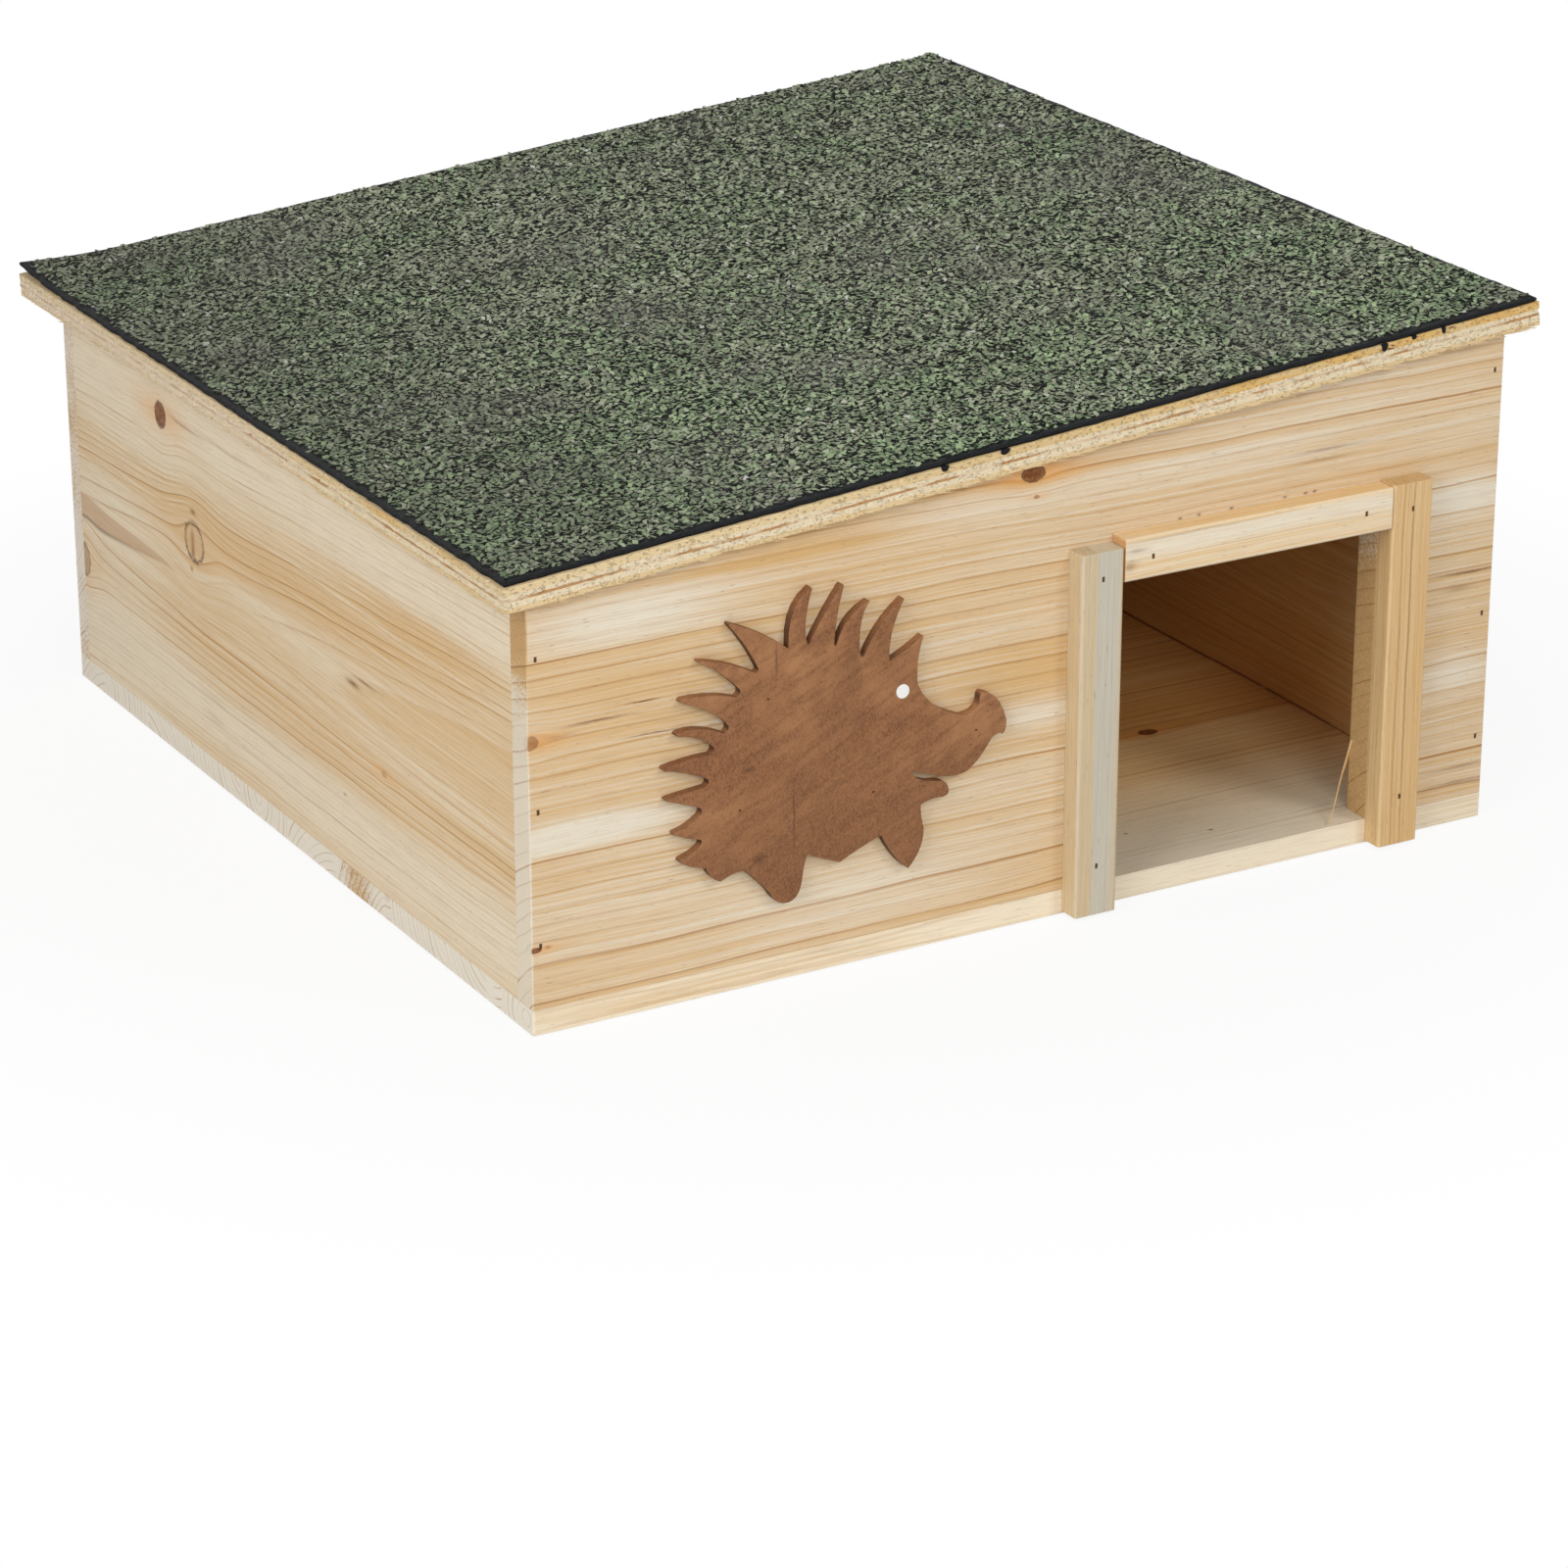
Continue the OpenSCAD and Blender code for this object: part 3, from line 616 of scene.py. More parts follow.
def chip_material():
    """Mineral chips: each has its own tone, in greener and greyer patches, with painted sheen that turns
    them greyer towards the back.
    """
    graph = Graph("mineral_chips")
    x, y, z = graph.millimetres()
    tone = graph.attribute("tone")
    # Tones below 0.15 are the chips' sides, painted nearly black as the shade in the gaps between chips
    grey = graph.ramp(
        tone,
        (0.0, (14, 15, 12)),
        (0.14, (30, 32, 26)),
        (0.16, (118, 124, 103)),
        (0.6, (150, 156, 130)),
        (0.97, (184, 188, 162)),
        (0.995, (216, 217, 208)),
    )
    green = graph.ramp(
        tone,
        (0.0, (13, 16, 12)),
        (0.14, (27, 33, 24)),
        (0.16, (88, 106, 78)),
        (1.0, (176, 198, 152)),
    )
    # Greener towards the front and greyer towards the back: painted sheen, which the chips catch more at the
    # back
    front_without_sheen = 1.0 - y.step(-190.0, 60.0)
    patch = graph.even_noise((x, y, z), 0.02, 3.0) + graph.attribute("hue") * 0.5 - 0.25
    graph.colour = graph.mix((patch + front_without_sheen * 0.12).step(0.45, 0.8), grey, green)
    mauve = graph.even_noise((x, y, z), 0.012, 3.0).step(0.52, 0.66)
    graph.lay(mauve * 0.3, (112, 106, 104))
    dust = graph.even_noise((x, y, z), 0.8, 3.0)
    graph.lay(dust.step(0.4, 0.8) * 0.25, (58, 62, 50))
    at_left = 1.0 - x.step(-200.0, -60.0)
    graph.lay(at_left * 0.35, (50, 54, 43))
    return graph.finish(dust * 0.3 + 0.5, dust, 0.0003, 0.35)


# Cracks and scars of the plaque: x, z, half width and half height
SCARS = (
    (-99.0, 62.0, 0.35, 12.0),
    (-106.0, 121.0, 0.4, 6.0),
    (-117.0, 83.0, 2.5, 1.0),
    (-113.0, 49.0, 2.4, 1.6),
)


def stain_material():
    """Red-brown stain on a thin board whose grain climbs to the right, darker at its sawn edge, partly as
    painted shade, and lighter where that edge faces up, as painted light.
    """
    graph = Graph("stained_board")
    x, y, z = graph.millimetres()
    along = x * 0.90 + z * 0.44
    across = z * 0.90 - x * 0.44
    cloud = graph.noise(along * 0.02, across * 0.03, y * 0.02, 4.0)
    grain = graph.noise(along * 0.06, across * 0.35, y * 0.35, 4.0)
    weave = graph.noise(x * 2.2, z * 1.1, y, 3.0)
    mottle = graph.noise(x * 0.16, z * 0.1, y * 0.1, 5.0)
    dash = graph.noise(along * 0.3, across * 2.0, y * 2.0, 1.0).step(0.68, 0.78)
    graph.colour = graph.mix(cloud.step(0.3, 0.7), (122, 78, 47), (170, 121, 80))
    graph.lay(grain.step(0.4, 0.65) * 0.55, (100, 61, 36))
    graph.lay(mottle.step(0.4, 0.65) * 0.3, (106, 66, 42))
    graph.lay((1.0 - z.step(44.0, 100.0)) * 0.6, (112, 72, 44))
    graph.lay(weave.step(0.35, 0.65) * 0.4, (176, 124, 82))
    graph.lay(dash * 0.45, (74, 42, 24))
    for u, v, half_u, half_v in SCARS:
        scar = (x + grain * 1.2).bell(u, half_u) * z.bell(v, half_v)
        graph.lay(scar * 0.6, (70, 42, 28))
    # The sawn sides: partly darker wood that took more stain, partly painted shade; the sides that face up
    # are painted lighter, as lit from above
    _, out, up = graph.facing()
    sawn_edge_and_shade = 1.0 - out.do("ABSOLUTE").step(0.2, 0.6)
    graph.lay(sawn_edge_and_shade * (0.85 - up.step(0.1, 0.7) * 0.65), (62, 38, 24))
    return graph.finish(grain * 0.2 + 0.5, grain - dash, 0.00025, 0.3)


def paint_material():
    graph = Graph("white_paint")
    place = graph.millimetres()
    brush = graph.even_noise(place, 0.7, 3.0)
    graph.colour = graph.mix(brush, (228, 228, 224), (246, 246, 243))
    return graph.finish(brush * 0.2 + 0.4, brush, 0.0001)


def zinc_material():
    """Dull zinc plate with a faint spangle and tarnish in patches."""
    graph = Graph("zinc_plate")
    x, y, z = graph.millimetres()
    spangle = graph.even_noise((x, y, z), 0.8, 4.0)
    brushed = graph.noise(x * 0.15, y * 4.0, z * 4.0, 2.0)
    graph.colour = graph.mix(spangle, (150, 150, 146), (198, 198, 194))
    graph.lay(spangle.step(0.6, 0.75) * 0.4, (122, 118, 108))
    graph.set("Metallic", 1.0)
    return graph.finish(brushed * 0.25 + 0.3, brushed, 0.00005, 0.5)


def nail_material():
    graph = Graph("nail_steel")
    place = graph.millimetres()
    rust = graph.even_noise(place, 1.5, 3.0)
    graph.colour = graph.mix(rust.step(0.35, 0.7), (80, 60, 44), (118, 84, 54))
    graph.set("Metallic", 0.4)
    return graph.finish(rust * 0.3 + 0.5, rust, 0.0001, 0.3)


# Pieces


def add_object(name, data):
    holder = bpy.data.objects.new(name, data)
    bpy.context.scene.collection.objects.link(holder)
    return holder


def add_piece(name, mesh, material, body, slot, *replaced):
    """Puts a finished mesh on a body of the frame, in place of the CAD nodes named."""
    piece = add_object(name, mesh)
    mesh.materials.append(material)
    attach(piece, body)
    if replaced:
        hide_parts(*replaced)


# Points closer than this are one, faces flatter than this are one, and edges past this are sharp
WELD = 0.002 * MM
FLAT = math.radians(0.4)
SHARP = math.radians(35.0)

# How far edges are eased, and the shortest edge that is
BOARD_EASE = 0.35 * MM
TRIM_EASE = 0.3 * MM
EYE_EASE = 0.15 * MM
PLAQUE_EASE = 0.3 * MM
SHORTEST_BOARD_EDGE = 6.0 * MM
SHORTEST_PLAQUE_EDGE = 0.7 * MM


def solid_of(node):
    """A welded copy of a CAD node's solid with its flat faces whole, for editing."""
    source = nodes[node].data
    solid = bmesh.new()
    verts = [solid.verts.new(v.co) for v in source.vertices]
    for face in source.polygons:
        solid.faces.new([verts[i] for i in face.vertices])
    bmesh.ops.remove_doubles(solid, verts=solid.verts[:], dist=WELD)
    bmesh.ops.dissolve_limit(solid, angle_limit=FLAT, verts=solid.verts[:], edges=solid.edges[:])
    return solid


def mesh_of(solid, name):
    mesh = bpy.data.meshes.new(name)
    solid.to_mesh(mesh)
    solid.free()
    return mesh


def ring_faces(first, rings, sides):
    """Faces of a closed solid of rings, whose points are numbered from first on, ring by ring."""
    last = first + (rings - 1) * sides
    faces = []
    for start in range(first, last, sides):
        for i in range(sides):
            j = (i + 1) % sides
            faces.append((start + i, start + j, start + sides + j, start + sides + i))
    faces.append(tuple(range(first, first + sides))[::-1])
    faces.append(tuple(range(last, last + sides)))
    return faces


def outward_faces(mesh):
    """Turns all faces of a mesh of small closed solids outwards."""
    solid = bmesh.new()
    solid.from_mesh(mesh)
    bmesh.ops.recalc_face_normals(solid, faces=solid.faces[:])
    solid.to_mesh(mesh)
    solid.free()


def sharp_edges(solid, shortest):
    """The sharp edges that are longer than shortest."""
    return [
        e
        for e in solid.edges
        if len(e.link_faces) == 2 and e.calc_length() > shortest and e.calc_face_angle() > SHARP
    ]


def ease_edges(solid, ease, shortest):
    """Rounds the sharp edges that are longer than shortest, so that nail holes stay crisp."""
    edges = sharp_edges(solid, shortest)
    bmesh.ops.bevel(
        solid, geom=edges, offset=ease, segments=2, profile=0.6, affect="EDGES", clamp_overlap=True
    )


def add_board(node, material, slot="fir_board", ease=BOARD_EASE):
    """A board with eased edges in place of its sharp CAD solid."""
    solid = solid_of(node)
    ease_edges(solid, ease, SHORTEST_BOARD_EDGE)
    add_piece("wood_" + node, mesh_of(solid, node), material, "box", slot, node)


def add_boards():
    add_board("front_panel", front_wood())
    add_board("back_panel", back_wood())
    add_board("left_side_panel", left_wood())
    add_board("right_side_panel", right_wood())
    add_board("floor_panel", floor_wood())
    add_board("door_lintel", lintel_wood(), ease=TRIM_EASE)
    add_board("left_door_jamb", left_jamb_wood(), "grey_fir", TRIM_EASE)
    add_board("right_door_jamb", right_jamb_wood(), "orange_fir", TRIM_EASE)


def add_plaque():
    """The cut-out board with its front edge rounded by sanding, and its painted eye."""
    solid = solid_of("hedgehog_plaque")
    front = min(v.co.y for v in solid.verts)
    eye_low, eye_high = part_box("plaque_eye")
    eye = (eye_low + eye_high) / 2
    eye_reach = (eye_high.x - eye_low.x) * 0.6
    rim = []
    for e in sharp_edges(solid, SHORTEST_PLAQUE_EDGE):
        middle = (e.verts[0].co + e.verts[1].co) / 2
        if all(abs(v.co.y - front) < WELD for v in e.verts) and (middle - eye).length > eye_reach:
            rim.append(e)
    bmesh.ops.bevel(solid, geom=rim, offset=PLAQUE_EASE, segments=2, profile=0.5, affect="EDGES")
    mesh = mesh_of(solid, "hedgehog_plaque")
    mesh.shade_smooth()
    mesh.set_sharp_from_angle(angle=SHARP)
    add_piece("stained_plaque", mesh, stain_material(), "box", "stained_plaque", "hedgehog_plaque")

    solid = solid_of("plaque_eye")
    ease_edges(solid, EYE_EASE, 0.0)
    mesh = mesh_of(solid, "plaque_eye")
    add_piece("painted_eye", mesh, paint_material(), "box", "eye_white", "plaque_eye")


# Roof


def roof_box(node):
    """Lowest and highest corner of a roof node along the roof's own axes."""
    points = np.array([TO_ROOF @ v.co for v in nodes[node].data.vertices])
    return points.min(0), points.max(0)


def wobble(count, span, size):
    """A closed wavy line of count numbers, smooth over span of them, mostly within size."""
    offsets = np.arange(count)
    gap = np.minimum(offsets, count - offsets)
    kernel = np.exp(-((gap / span) ** 2))
    waves = np.fft.irfft(np.fft.rfft(rng.normal(size=count)) * np.fft.rfft(kernel), count)
    return waves / waves.std() * size / 2


def rim_points(low, high, step):
    """Points round a rectangle, and the way out of it at each point."""
    corners = [(low[0], low[1]), (high[0], low[1]), (high[0], high[1]), (low[0], high[1])]
    points, outward = [], []
    for k in range(4):
        start, end = np.array(corners[k]), np.array(corners[(k + 1) % 4])
        count = int(round(np.linalg.norm(end - start) / step))
        run = (end - start) / np.linalg.norm(end - start)
        out = np.array((run[1], -run[0]))
        for i in range(count):
            points.append(start + (end - start) * i / count)
            outward.append(out if i else out - run)
    return np.array(points), np.array(outward)


def roof_mesh(name, points, faces):
    """A mesh through points that are given in roof axes."""
    mesh = bpy.data.meshes.new(name)
    mesh.from_pydata(np.array(points).tolist(), [], faces)
    mesh.transform(FROM_ROOF)
    mesh.update()
    return mesh


def loft(rows, name):
    """A closed solid through rings of points, from its underside to its top, in roof axes."""
    return roof_mesh(name, np.concatenate(rows), ring_faces(0, len(rows), len(rows[0])))


def add_numbers(mesh, name, values):
    """Gives each face a number that the material reads."""
    mesh.attributes.new(name, "FLOAT", "FACE").data.foreach_set("value", np.asarray(values, np.float32))


def ring_at(points, outward, inset, height):
    """The points of a rim, moved inwards by inset and up to height."""
    flat = points - outward * np.broadcast_to(inset, len(points))[:, None]
    return np.column_stack((flat, np.broadcast_to(height, len(points))))


# Distance between the points along the rims of the plywood and the felt
RIM_STEP = 1.2 * MM
# Thickness of each ply as a share of the panel, from the underside to the top
PLY_SHARES = (0.19, 0.24, 0.10, 0.18, 0.29)
# How far the sawn edge lies inside the panel, its roughness along and across the grain and its waves
SAWN_INSET = 0.25 * MM
LONG_ROUGH = 0.12 * MM
END_ROUGH = 0.22 * MM
SAWN_WAVES = 0.12 * MM
# Share of the edge that is pitted, along and across the grain, and how deep in millimetres
LONG_PITS = 0.01
END_PITS = 0.03
PIT_DEPTHS = (0.2, 0.8)
# How far the torn lower edge rises
TORN_RISE = 0.4 * MM


def add_plywood():
    """The roof panel: five plies, each sawn a little differently, ragged along the lower edge."""
    low, high = roof_box("roof_panel")
    points, outward = rim_points(low, high, RIM_STEP)
    count = len(points)
    tops = low[2] + (high[2] - low[2]) * np.cumsum(PLY_SHARES)
    bottoms = np.concatenate(([low[2]], tops[:-1]))
    rows, ply_rows = [], []
    for k, (bottom, top) in enumerate(zip(bottoms, tops)):
        rough = END_ROUGH if k % 2 else LONG_ROUGH
        inset = SAWN_INSET + wobble(count, 1.2, rough) + wobble(count, 30.0, SAWN_WAVES)
        inset = np.clip(inset, 0.0, None)
        pits = rng.random(count) < (END_PITS if k % 2 else LONG_PITS)
        inset = inset + pits * rng.uniform(*PIT_DEPTHS, count) * MM
        lift = 0.0
        if k == 0:
            lift = wobble(count, 2.5, TORN_RISE) + wobble(count, 14.0, TORN_RISE)
            lift = np.clip(lift, 0.0, 2 * TORN_RISE)
        rows.append(ring_at(points, outward, inset, bottom + lift))
        rows.append(ring_at(points, outward, inset, top))
        ply_rows += [k, k]
    mesh = loft(rows, "roof_panel")
    plies = np.repeat(ply_rows[:-1], count).tolist() + [0, len(PLY_SHARES) - 1]
    add_numbers(mesh, "ply", np.array(plies) / (len(PLY_SHARES) - 1))
    add_numbers(mesh, "turned", np.array(plies) % 2)
    material = ply_material()
    add_piece("plywood_roof", mesh, material, "roof", "plywood", "roof_panel")
    add_splinters(low, high, material)


# Splinters along the front and the left edge
FRONT_SPLINTERS = 170
LEFT_SPLINTERS = 40
# Least and most in millimetres: length, thickness, droop and how far the tip stands out
SPLINTER_LENGTHS = (1.5, 9.0)
SPLINTER_THICKNESS = (0.25, 0.65)
SPLINTER_DROOP = (-0.2, 1.2)
SPLINTER_LEAN = (-0.1, 0.35)
# How far inside the panel a splinter starts, and how much of its thickness the tip has lost
SPLINTER_ROOT = 0.35 * MM
SPLINTER_TAPER = 0.85
# Shape of a splinter: how far along it a ring lies, and its share of the droop there
SPLINTER_RINGS = ((0.0, 0.0), (0.55, 0.6), (1.0, 1.0))
SPLINTER_SECTION = ((0, 0), (1, 0), (1, 1), (0, 1))


def add_splinters(low, high, material):
    """Torn fibres along the lower front and left edges of the plywood."""
    verts, faces = [], []
    for side, number in ((1, FRONT_SPLINTERS), (0, LEFT_SPLINTERS)):
        run = np.eye(3)[1 - side]
        inward = np.eye(3)[side]
        down = np.array((0.0, 0.0, -1.0))
        for _ in range(number):
            length = rng.uniform(*SPLINTER_LENGTHS) * MM
            thick = rng.uniform(*SPLINTER_THICKNESS) * MM
            drop = rng.uniform(*SPLINTER_DROOP) * MM
            out = rng.uniform(*SPLINTER_LEAN) * MM
            share = 1.0 - rng.random() ** 1.5 if side else rng.random()
            start = np.array(low) + run * share * (high[1 - side] - low[1 - side] - length)
            start = start + inward * SPLINTER_ROOT
            faces += ring_faces(len(verts), len(SPLINTER_RINGS), len(SPLINTER_SECTION))
            for reach, slip in SPLINTER_RINGS:
                size = thick * (1.0 - SPLINTER_TAPER * reach)
                base = start + run * length * reach + down * drop * slip - inward * out * slip
                for sx, sz in SPLINTER_SECTION:
                    verts.append(base + inward * size * sx - down * size * sz)
    mesh = roof_mesh("roof_splinters", verts, faces)
    outward_faces(mesh)
    add_numbers(mesh, "ply", np.zeros(len(mesh.polygons)))
    add_numbers(mesh, "turned", np.zeros(len(mesh.polygons)))
    add_piece("roof_splinters", mesh, material, "roof", "plywood")


# The sheet's share of the felt's thickness, under the chips
SHEET_SHARE = 0.64
# How high the back left corner has curled, and how far the curl reaches
CURL = 3.2 * MM
CURL_REACH = 48.0 * MM
# How far the knife's cut lies inside the edge, and its teeth and waves
CUT_INSET = 0.5 * MM
CUT_TEETH = 0.3 * MM
CUT_WAVES = 0.5 * MM
# The cut edge from the underside to the top: millimetres inwards and share of the height
FELT_EDGE = ((0.5, 0.0), (0.15, 0.2), (0.0, 0.5), (0.15, 0.8), (0.6, 0.95), (1.6, 1.0))
# Rings inside the edge that carry the curl, in millimetres inwards
FELT_RINGS = (8.0, 20.0, 36.0, 52.0)
CHIP_STRIPS = ("front", "mid_front", "mid_back", "back")


def curl(points, low, high):
    """How far the felt's back left corner has curled up at points given in roof axes."""
    off = np.hypot(points[..., 0] - low[0], points[..., 1] - high[1])
    return CURL * np.clip(1.0 - off / CURL_REACH, 0.0, 1.0) ** 2


def add_felt():
    """The felt: a black sheet with ragged knife-cut edges, strewn with flat mineral chips."""
    low, high = roof_box("roof_felt")
    points, outward = rim_points(low, high, RIM_STEP)
    count = len(points)
    top = low[2] + (high[2] - low[2]) * SHEET_SHARE
    cut = CUT_INSET + wobble(count, 2.0, CUT_TEETH) + wobble(count, 40.0, CUT_WAVES)
    levels = [(gap, 0.0) for gap in FELT_RINGS[::-1]] + list(FELT_EDGE) + [(gap, 1.0) for gap in FELT_RINGS]
    rows = []
    for gap, share in levels:
        ragged = cut + wobble(count, 1.5, 0.12 * MM) if gap < FELT_RINGS[0] else 0.0
        row = ring_at(points, outward, ragged + gap * MM, low[2] + (top - low[2]) * share)
        border = gap * MM if gap >= FELT_RINGS[0] else 0.0
        row[:, :2] = np.clip(row[:, :2], low[:2] + border, high[:2] - border)
        row[:, 2] += curl(row, low, high)
        rows.append(row)
    mesh = loft(rows, "roof_felt")
    add_piece("felt_sheet", mesh, bitumen_material(), "roof", "mineral_felt", "roof_felt")

    chips = chip_material()
    strips = np.linspace(low[1], high[1], len(CHIP_STRIPS) + 1)
    for name, start, end in zip(CHIP_STRIPS, strips[:-1], strips[1:]):
        add_chips("felt_chips_" + name, (low[0], start), (high[0], end), low, high, top, chips)


CHIP_PITCH = 1.75 * MM
CHIP_SIDES = 4
# Half lengths of the chips in millimetres, and their widths as a share of the lengths
CHIP_LENGTHS = (1.0, 1.65)
CHIP_WIDTHS = (0.62, 1.0)
# How far the chips lean, and how high they stand as a share of the room above the sheet
CHIP_LEAN = 0.24
CHIP_HEIGHTS = (0.1, 0.7)
# How deep the chips sit in the sheet, and how wide the bare rim is
CHIP_ROOT = 0.15 * MM
BARE_RIM = 2.5 * MM
# Tones: the darkest top of a chip, and the palest of its sides, which are painted dark as the shade in the
# gaps between chips
DARKEST_TOP = 0.17
SKIRT_SHADE = 0.13


def add_chips(name, start, end, low, high, base, material):
    """Flat chips at all angles, pressed into the felt's top between start and end."""
    columns = int((end[0] - start[0]) / CHIP_PITCH)
    lines = int((end[1] - start[1]) / CHIP_PITCH)
    grid = np.stack(np.meshgrid(np.arange(columns), np.arange(lines)), -1).reshape(-1, 2) + 0.5
    grid = grid + rng.uniform(-0.45, 0.45, grid.shape)
    centre = np.array(start) + grid * (np.array(end) - start) / (columns, lines)
    margin = BARE_RIM + np.abs(rng.normal(0.0, 0.8, len(centre))) * MM
    inside = np.minimum(centre - low[:2], high[:2] - centre).min(1)
    centre = centre[inside > margin]
    total = len(centre)

    length = rng.uniform(*CHIP_LENGTHS, total) * MM
    width = length * rng.uniform(*CHIP_WIDTHS, total)
    turn = rng.uniform(0.0, math.tau, total)
    corner = np.arange(CHIP_SIDES) / CHIP_SIDES * math.tau + rng.uniform(-0.5, 0.5, (total, CHIP_SIDES))
    reach = rng.uniform(0.85, 1.15, (total, CHIP_SIDES))
    flat = np.stack((np.cos(corner) * reach * length[:, None], np.sin(corner) * reach * width[:, None]), -1)
    spin = np.stack((np.cos(turn), -np.sin(turn), np.sin(turn), np.cos(turn)), -1).reshape(-1, 2, 2)
    flat = np.einsum("nij,nkj->nki", spin, flat)
    lean = rng.normal(0.0, CHIP_LEAN, (total, 2))
    head = high[2] - base
    height = rng.uniform(*CHIP_HEIGHTS, total) * head
    rise = height[:, None] + np.einsum("nki,ni->nk", flat, lean)
    rise = np.clip(rise, 0.02 * head, 0.98 * head)
    place = np.clip(centre[:, None, :] + flat, low[:2], high[:2])
    lift = curl(place, low, high)
    tops = np.concatenate((place, (base + rise + lift)[..., None]), -1)
    feet = np.concatenate((place, (base + lift - CHIP_ROOT)[..., None]), -1)
    verts = np.concatenate((tops, feet), 1).reshape(-1, 3)

    sides = np.arange(CHIP_SIDES)
    after = (sides + 1) % CHIP_SIDES
    skirt = np.stack((sides + CHIP_SIDES, after + CHIP_SIDES, after, sides), -1)
    pattern = np.concatenate((sides[None, :], skirt, sides[None, ::-1] + CHIP_SIDES))
    faces = np.arange(total)[:, None, None] * 2 * CHIP_SIDES + pattern
    mesh = roof_mesh(name, verts, faces.reshape(-1, CHIP_SIDES).tolist())
    tone = np.repeat(rng.uniform(DARKEST_TOP, 1.0, total)[:, None], len(pattern), 1)
    # The sides keep a small share of the top's tone: painted shade between the chips
    tone[:, 1:] *= SKIRT_SHADE
    add_numbers(mesh, "tone", tone.ravel())
    add_numbers(mesh, "hue", np.repeat(rng.random(total), len(pattern)))
    add_piece(name, mesh, material, "roof", "mineral_felt")


# Bitumen that ran down the plywood's front edge: place along the edge, width and length
DRIPS = ((-25.5, 3.4, 2.0), (-1.3, 4.0, 1.9), (158.0, 3.0, 3.0), (171.0, 2.4, 1.5), (184.0, 2.0, 2.4))
# Shape of a drip: how far down a ring of it lies, and how wide it is there
DRIP_RINGS = ((0.0, 1.0), (0.35, 1.05), (0.75, 0.8), (1.0, 0.3))
DRIP_SIDES = 7
# How far a drip bulges from the edge, and how far it starts inside the felt, in millimetres
DRIP_BULGE = 0.7
DRIP_ROOT = 0.3


def add_drips():
    low, high = roof_box("roof_panel")
    verts, faces = [], []
    for place, width, length in DRIPS:
        faces += ring_faces(len(verts), len(DRIP_RINGS), DRIP_SIDES)
        middle = place / math.cos(SLOPE) * MM
        for reach, size in DRIP_RINGS:
            for i in range(DRIP_SIDES):
                turn = i / DRIP_SIDES * math.tau
                rough = rng.uniform(0.85, 1.1)
                across = math.cos(turn) * width / 2 * size * rough * MM
                out = math.sin(turn) * DRIP_BULGE * size * rough * MM
                down = (reach * length - DRIP_ROOT) * MM
                verts.append((middle + across, low[1] + DRIP_ROOT * MM + out, high[2] - down))
    mesh = roof_mesh("felt_drips", verts, faces)
    outward_faces(mesh)
    add_piece("felt_drips", mesh, bpy.data.materials["bitumen"], "roof", "mineral_felt")


# Small pieces


# A splinter torn from the doorway's right edge: points along it in millimetres, and its radii
SPLINTER_PATH = (
    (146.9, -190.3, 38.0),
    (146.2, -188.2, 29.0),
    (143.5, -188.6, 21.5),
    (136.0, -195.0, 13.0),
    (128.5, -199.6, 7.0),
)
SPLINTER_RADII = (0.75, 0.7, 0.55, 0.4, 0.12)
SPLINTER_SIDES = 6


def add_door_splinter():
    """A long splinter torn from the doorway's right edge, which leans out over the threshold."""
    path = np.array(SPLINTER_PATH) * MM
    verts = []
    for k, (point, radius) in enumerate(zip(path, SPLINTER_RADII)):
        run = path[min(k + 1, len(path) - 1)] - path[max(k - 1, 0)]
        run = run / np.linalg.norm(run)
        across = np.cross(run, (0.0, 1.0, 0.2))
        across = across / np.linalg.norm(across)
        over = np.cross(across, run)
        for i in range(SPLINTER_SIDES):
            turn = i / SPLINTER_SIDES * math.tau
            verts.append(point + radius * MM * (across * math.cos(turn) + over * 0.45 * math.sin(turn)))
    mesh = bpy.data.meshes.new("door_splinter")
    mesh.from_pydata([v.tolist() for v in verts], [], ring_faces(0, len(path), SPLINTER_SIDES))
    outward_faces(mesh)
    mesh.shade_smooth()
    fibres = wood("splinter_fibres", "zxy", (120.0, -230.0), 2.0, FRONT_FACE, ORANGE_FIR, 0.9)
    add_piece("door_splinter", mesh, fibres, "box", "orange_fir")


def dress_metal():
    """The hinges, screws, nails and pins keep their CAD solids."""
    zinc = zinc_material()
    steel = nail_material()
    for name, node in nodes.items():
        if "hinge" in name:
            node.data.materials.clear()
            node.data.materials.append(zinc)
        elif "nails" in name or "pins" in name:
            node.data.materials.clear()
            node.data.materials.append(steel)


# Studio


# The camera, fitted to the corners of the house: sensor and lens in millimetres, place and aim
SENSOR = 36.0
LENS = 116.98
CAMERA_PLACE = (-0.9084, -1.6139, 0.7328)
CAMERA_AIM = (0.01256, 0.0, -0.01988)
FARTHEST = 50.0


def add_camera():
    camera = bpy.data.cameras.new("camera")
    camera.sensor_width = SENSOR
    camera.lens = LENS
    camera.clip_end = FARTHEST
    holder = add_object("camera", camera)
    holder.location = CAMERA_PLACE
    aim = Vector(CAMERA_AIM) - holder.location
    holder.rotation_euler = aim.to_track_quat("-Z", "Y").to_euler()
    bpy.context.scene.camera = holder


# What the lamps face
LIT_POINT = Vector((0.0, 0.0, 0.09))
# Each lamp: name, azimuth and elevation in degrees, distance, size and watts
LAMPS = (
    ("key", 24.0, 38.0, 2.8, 0.8, 16.0),
    ("front", -12.0, 24.0, 2.8, 1.2, 19.5),
    ("fill", -66.0, 28.0, 2.7, 1.8, 37.0),
)
SKY_LIGHT = 0.2


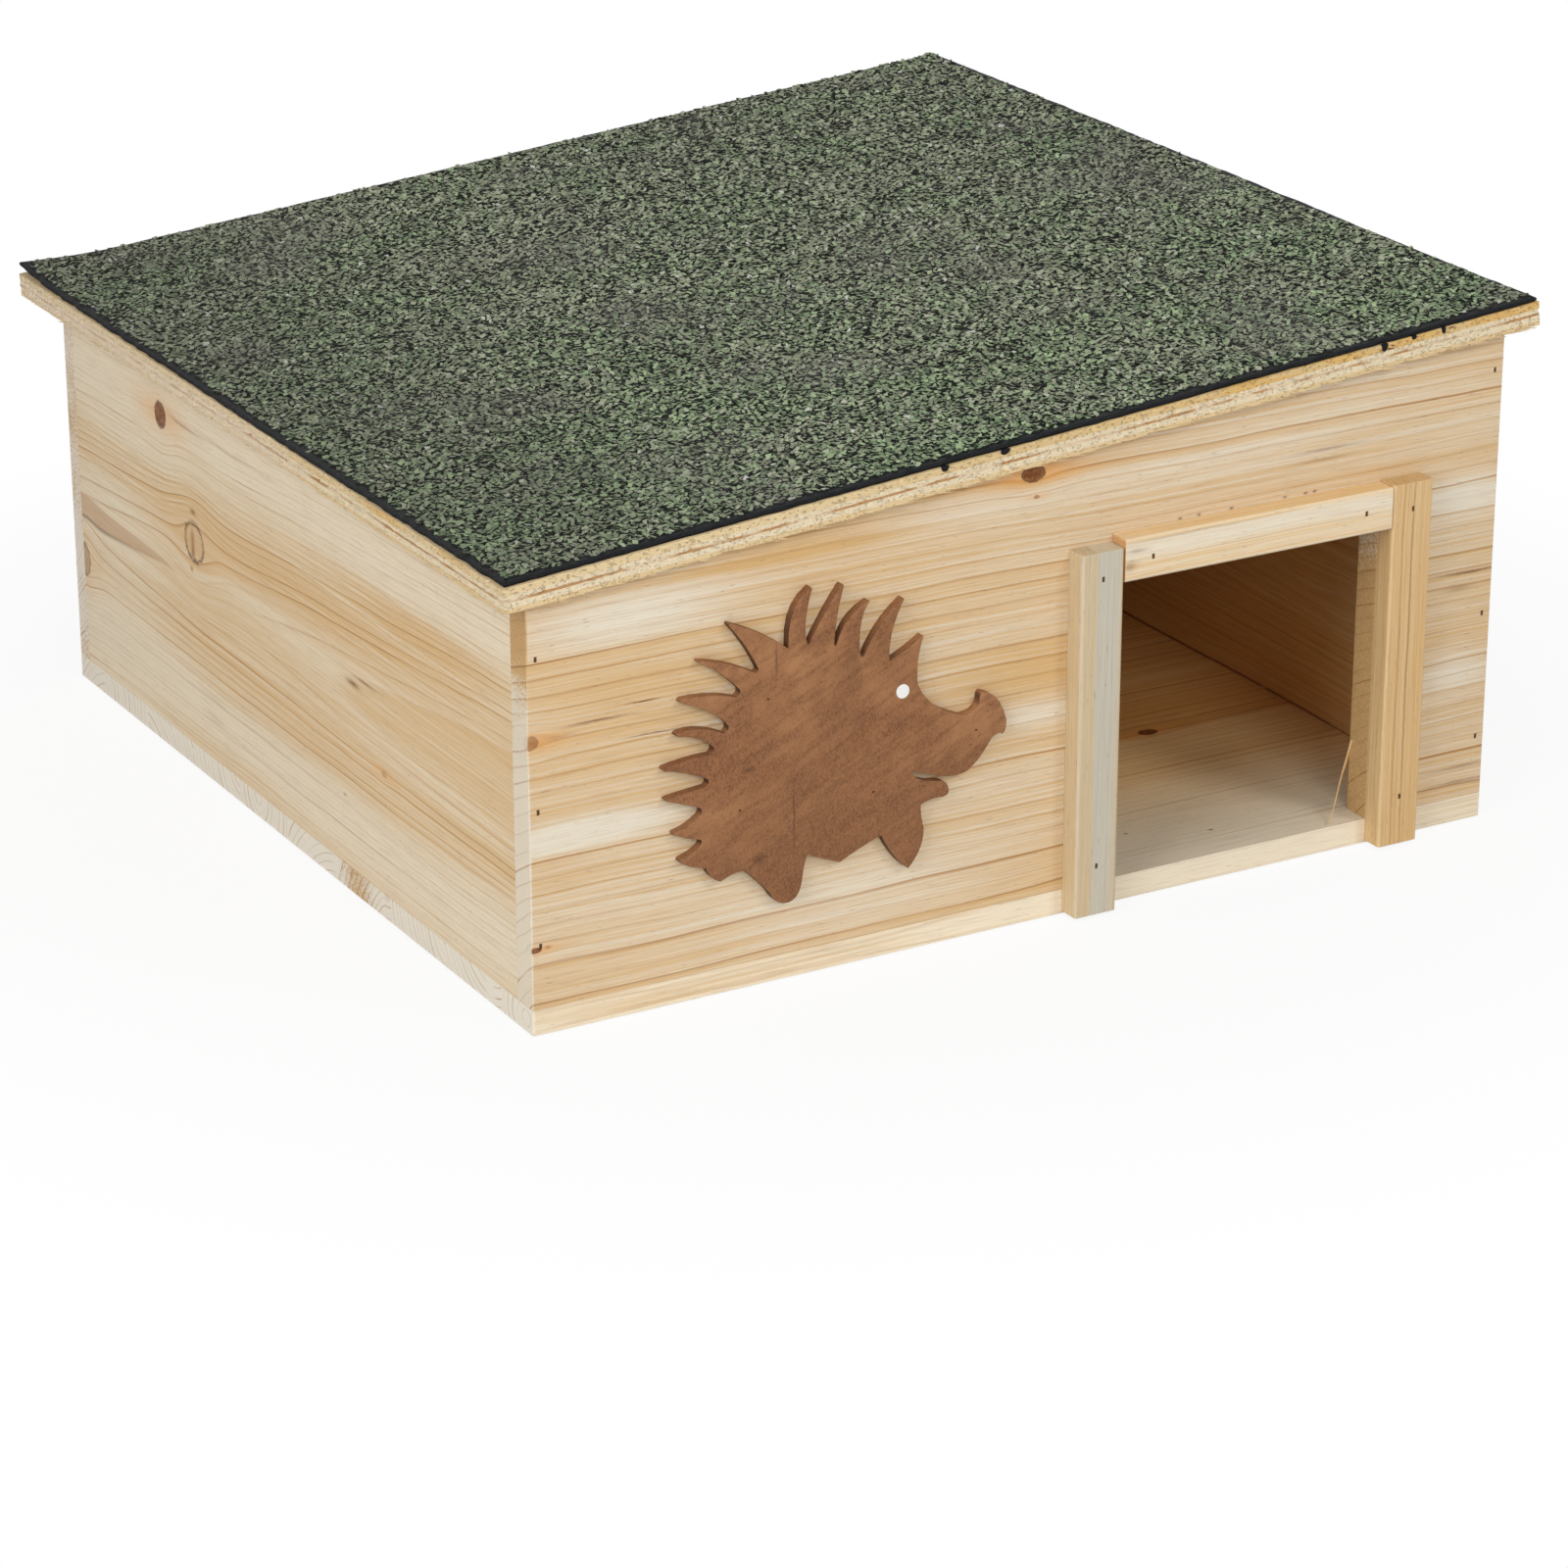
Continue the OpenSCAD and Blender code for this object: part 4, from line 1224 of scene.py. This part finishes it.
def add_lamp(name, azimuth, elevation, distance, size, watts):
    """A round soft lamp that faces the house. Azimuth 0 is in front of it and 90 at its right."""
    turn, climb = math.radians(azimuth), math.radians(elevation)
    away = Vector((math.sin(turn) * math.cos(climb), -math.cos(turn) * math.cos(climb), math.sin(climb)))
    lamp = bpy.data.lights.new(name, "AREA")
    lamp.shape = "DISK"
    lamp.size = size
    lamp.energy = watts
    holder = add_object(name, lamp)
    holder.location = LIT_POINT + away * distance
    holder.rotation_euler = (-away).to_track_quat("-Z", "Y").to_euler()


def add_studio():
    for lamp in LAMPS:
        add_lamp(*lamp)

    world = bpy.data.worlds.new("studio")
    bpy.context.scene.world = world
    world.use_nodes = True
    tree = world.node_tree
    sky = tree.nodes["Background"]
    sky.inputs["Strength"].default_value = SKY_LIGHT
    white = tree.nodes.new("ShaderNodeBackground")
    rays = tree.nodes.new("ShaderNodeLightPath")
    seen = tree.nodes.new("ShaderNodeMath")
    seen.operation = "MAXIMUM"
    tree.links.new(rays.outputs["Is Camera Ray"], seen.inputs[0])
    tree.links.new(rays.outputs["Is Glossy Ray"], seen.inputs[1])
    both = tree.nodes.new("ShaderNodeMixShader")
    for shader in (sky, white):
        shader.inputs["Color"].default_value = (1.0, 1.0, 1.0, 1.0)
    tree.links.new(seen.outputs[0], both.inputs[0])
    tree.links.new(sky.outputs[0], both.inputs[1])
    tree.links.new(white.outputs[0], both.inputs[2])
    tree.links.new(both.outputs[0], tree.nodes["World Output"].inputs["Surface"])


# How white the floor shows to the camera beside the house, where its shadow falls
SHADOW_GLOW = 0.88
# Where the shadow starts to fade and where it has faded, in millimetres from the middle
SHADOW_NEAR = 200.0
SHADOW_FAR = 520.0
FLOOR_REACH = 30.0
FLOOR_DROP = 0.0005
FLOOR_GREY = (0.9, 0.9, 0.9, 1.0)


def add_floor():
    """A pale floor that shows white to the camera and keeps the soft shadow of the house."""
    mesh = bpy.data.meshes.new("floor")
    reach = FLOOR_REACH
    corners = [(-reach, -reach, 0.0), (reach, -reach, 0.0), (reach, reach, 0.0), (-reach, reach, 0.0)]
    mesh.from_pydata(corners, [], [(0, 1, 2, 3)])
    floor = add_object("floor", mesh)
    floor.location.z = -FLOOR_DROP
    graph = Graph("studio_floor")
    graph.set("Base Color", FLOOR_GREY)
    graph.set("Roughness", 0.9)
    graph.set("Specular IOR Level", 0.0)
    glow = graph.add("Emission")
    rays = graph.add("LightPath")
    x, y, _ = graph.millimetres()
    away = (x * x + y * y).do("SQRT").step(SHADOW_NEAR, SHADOW_FAR)
    share = (away * (1.0 - SHADOW_GLOW) + SHADOW_GLOW) * Field(graph, rays.outputs["Is Camera Ray"])
    both = graph.add("MixShader")
    for socket, value in zip(both.inputs, (share, graph.shader.outputs[0], glow.outputs[0])):
        graph.feed(socket, value)
    graph.feed(graph.tree.nodes["Material Output"].inputs["Surface"], both.outputs[0])
    mesh.materials.append(graph.material)


add_camera()
add_studio()
add_floor()
add_boards()
add_plaque()
add_plywood()
add_felt()
add_drips()
add_door_splinter()
dress_metal()

bpy.context.scene.view_settings.view_transform = "Standard"
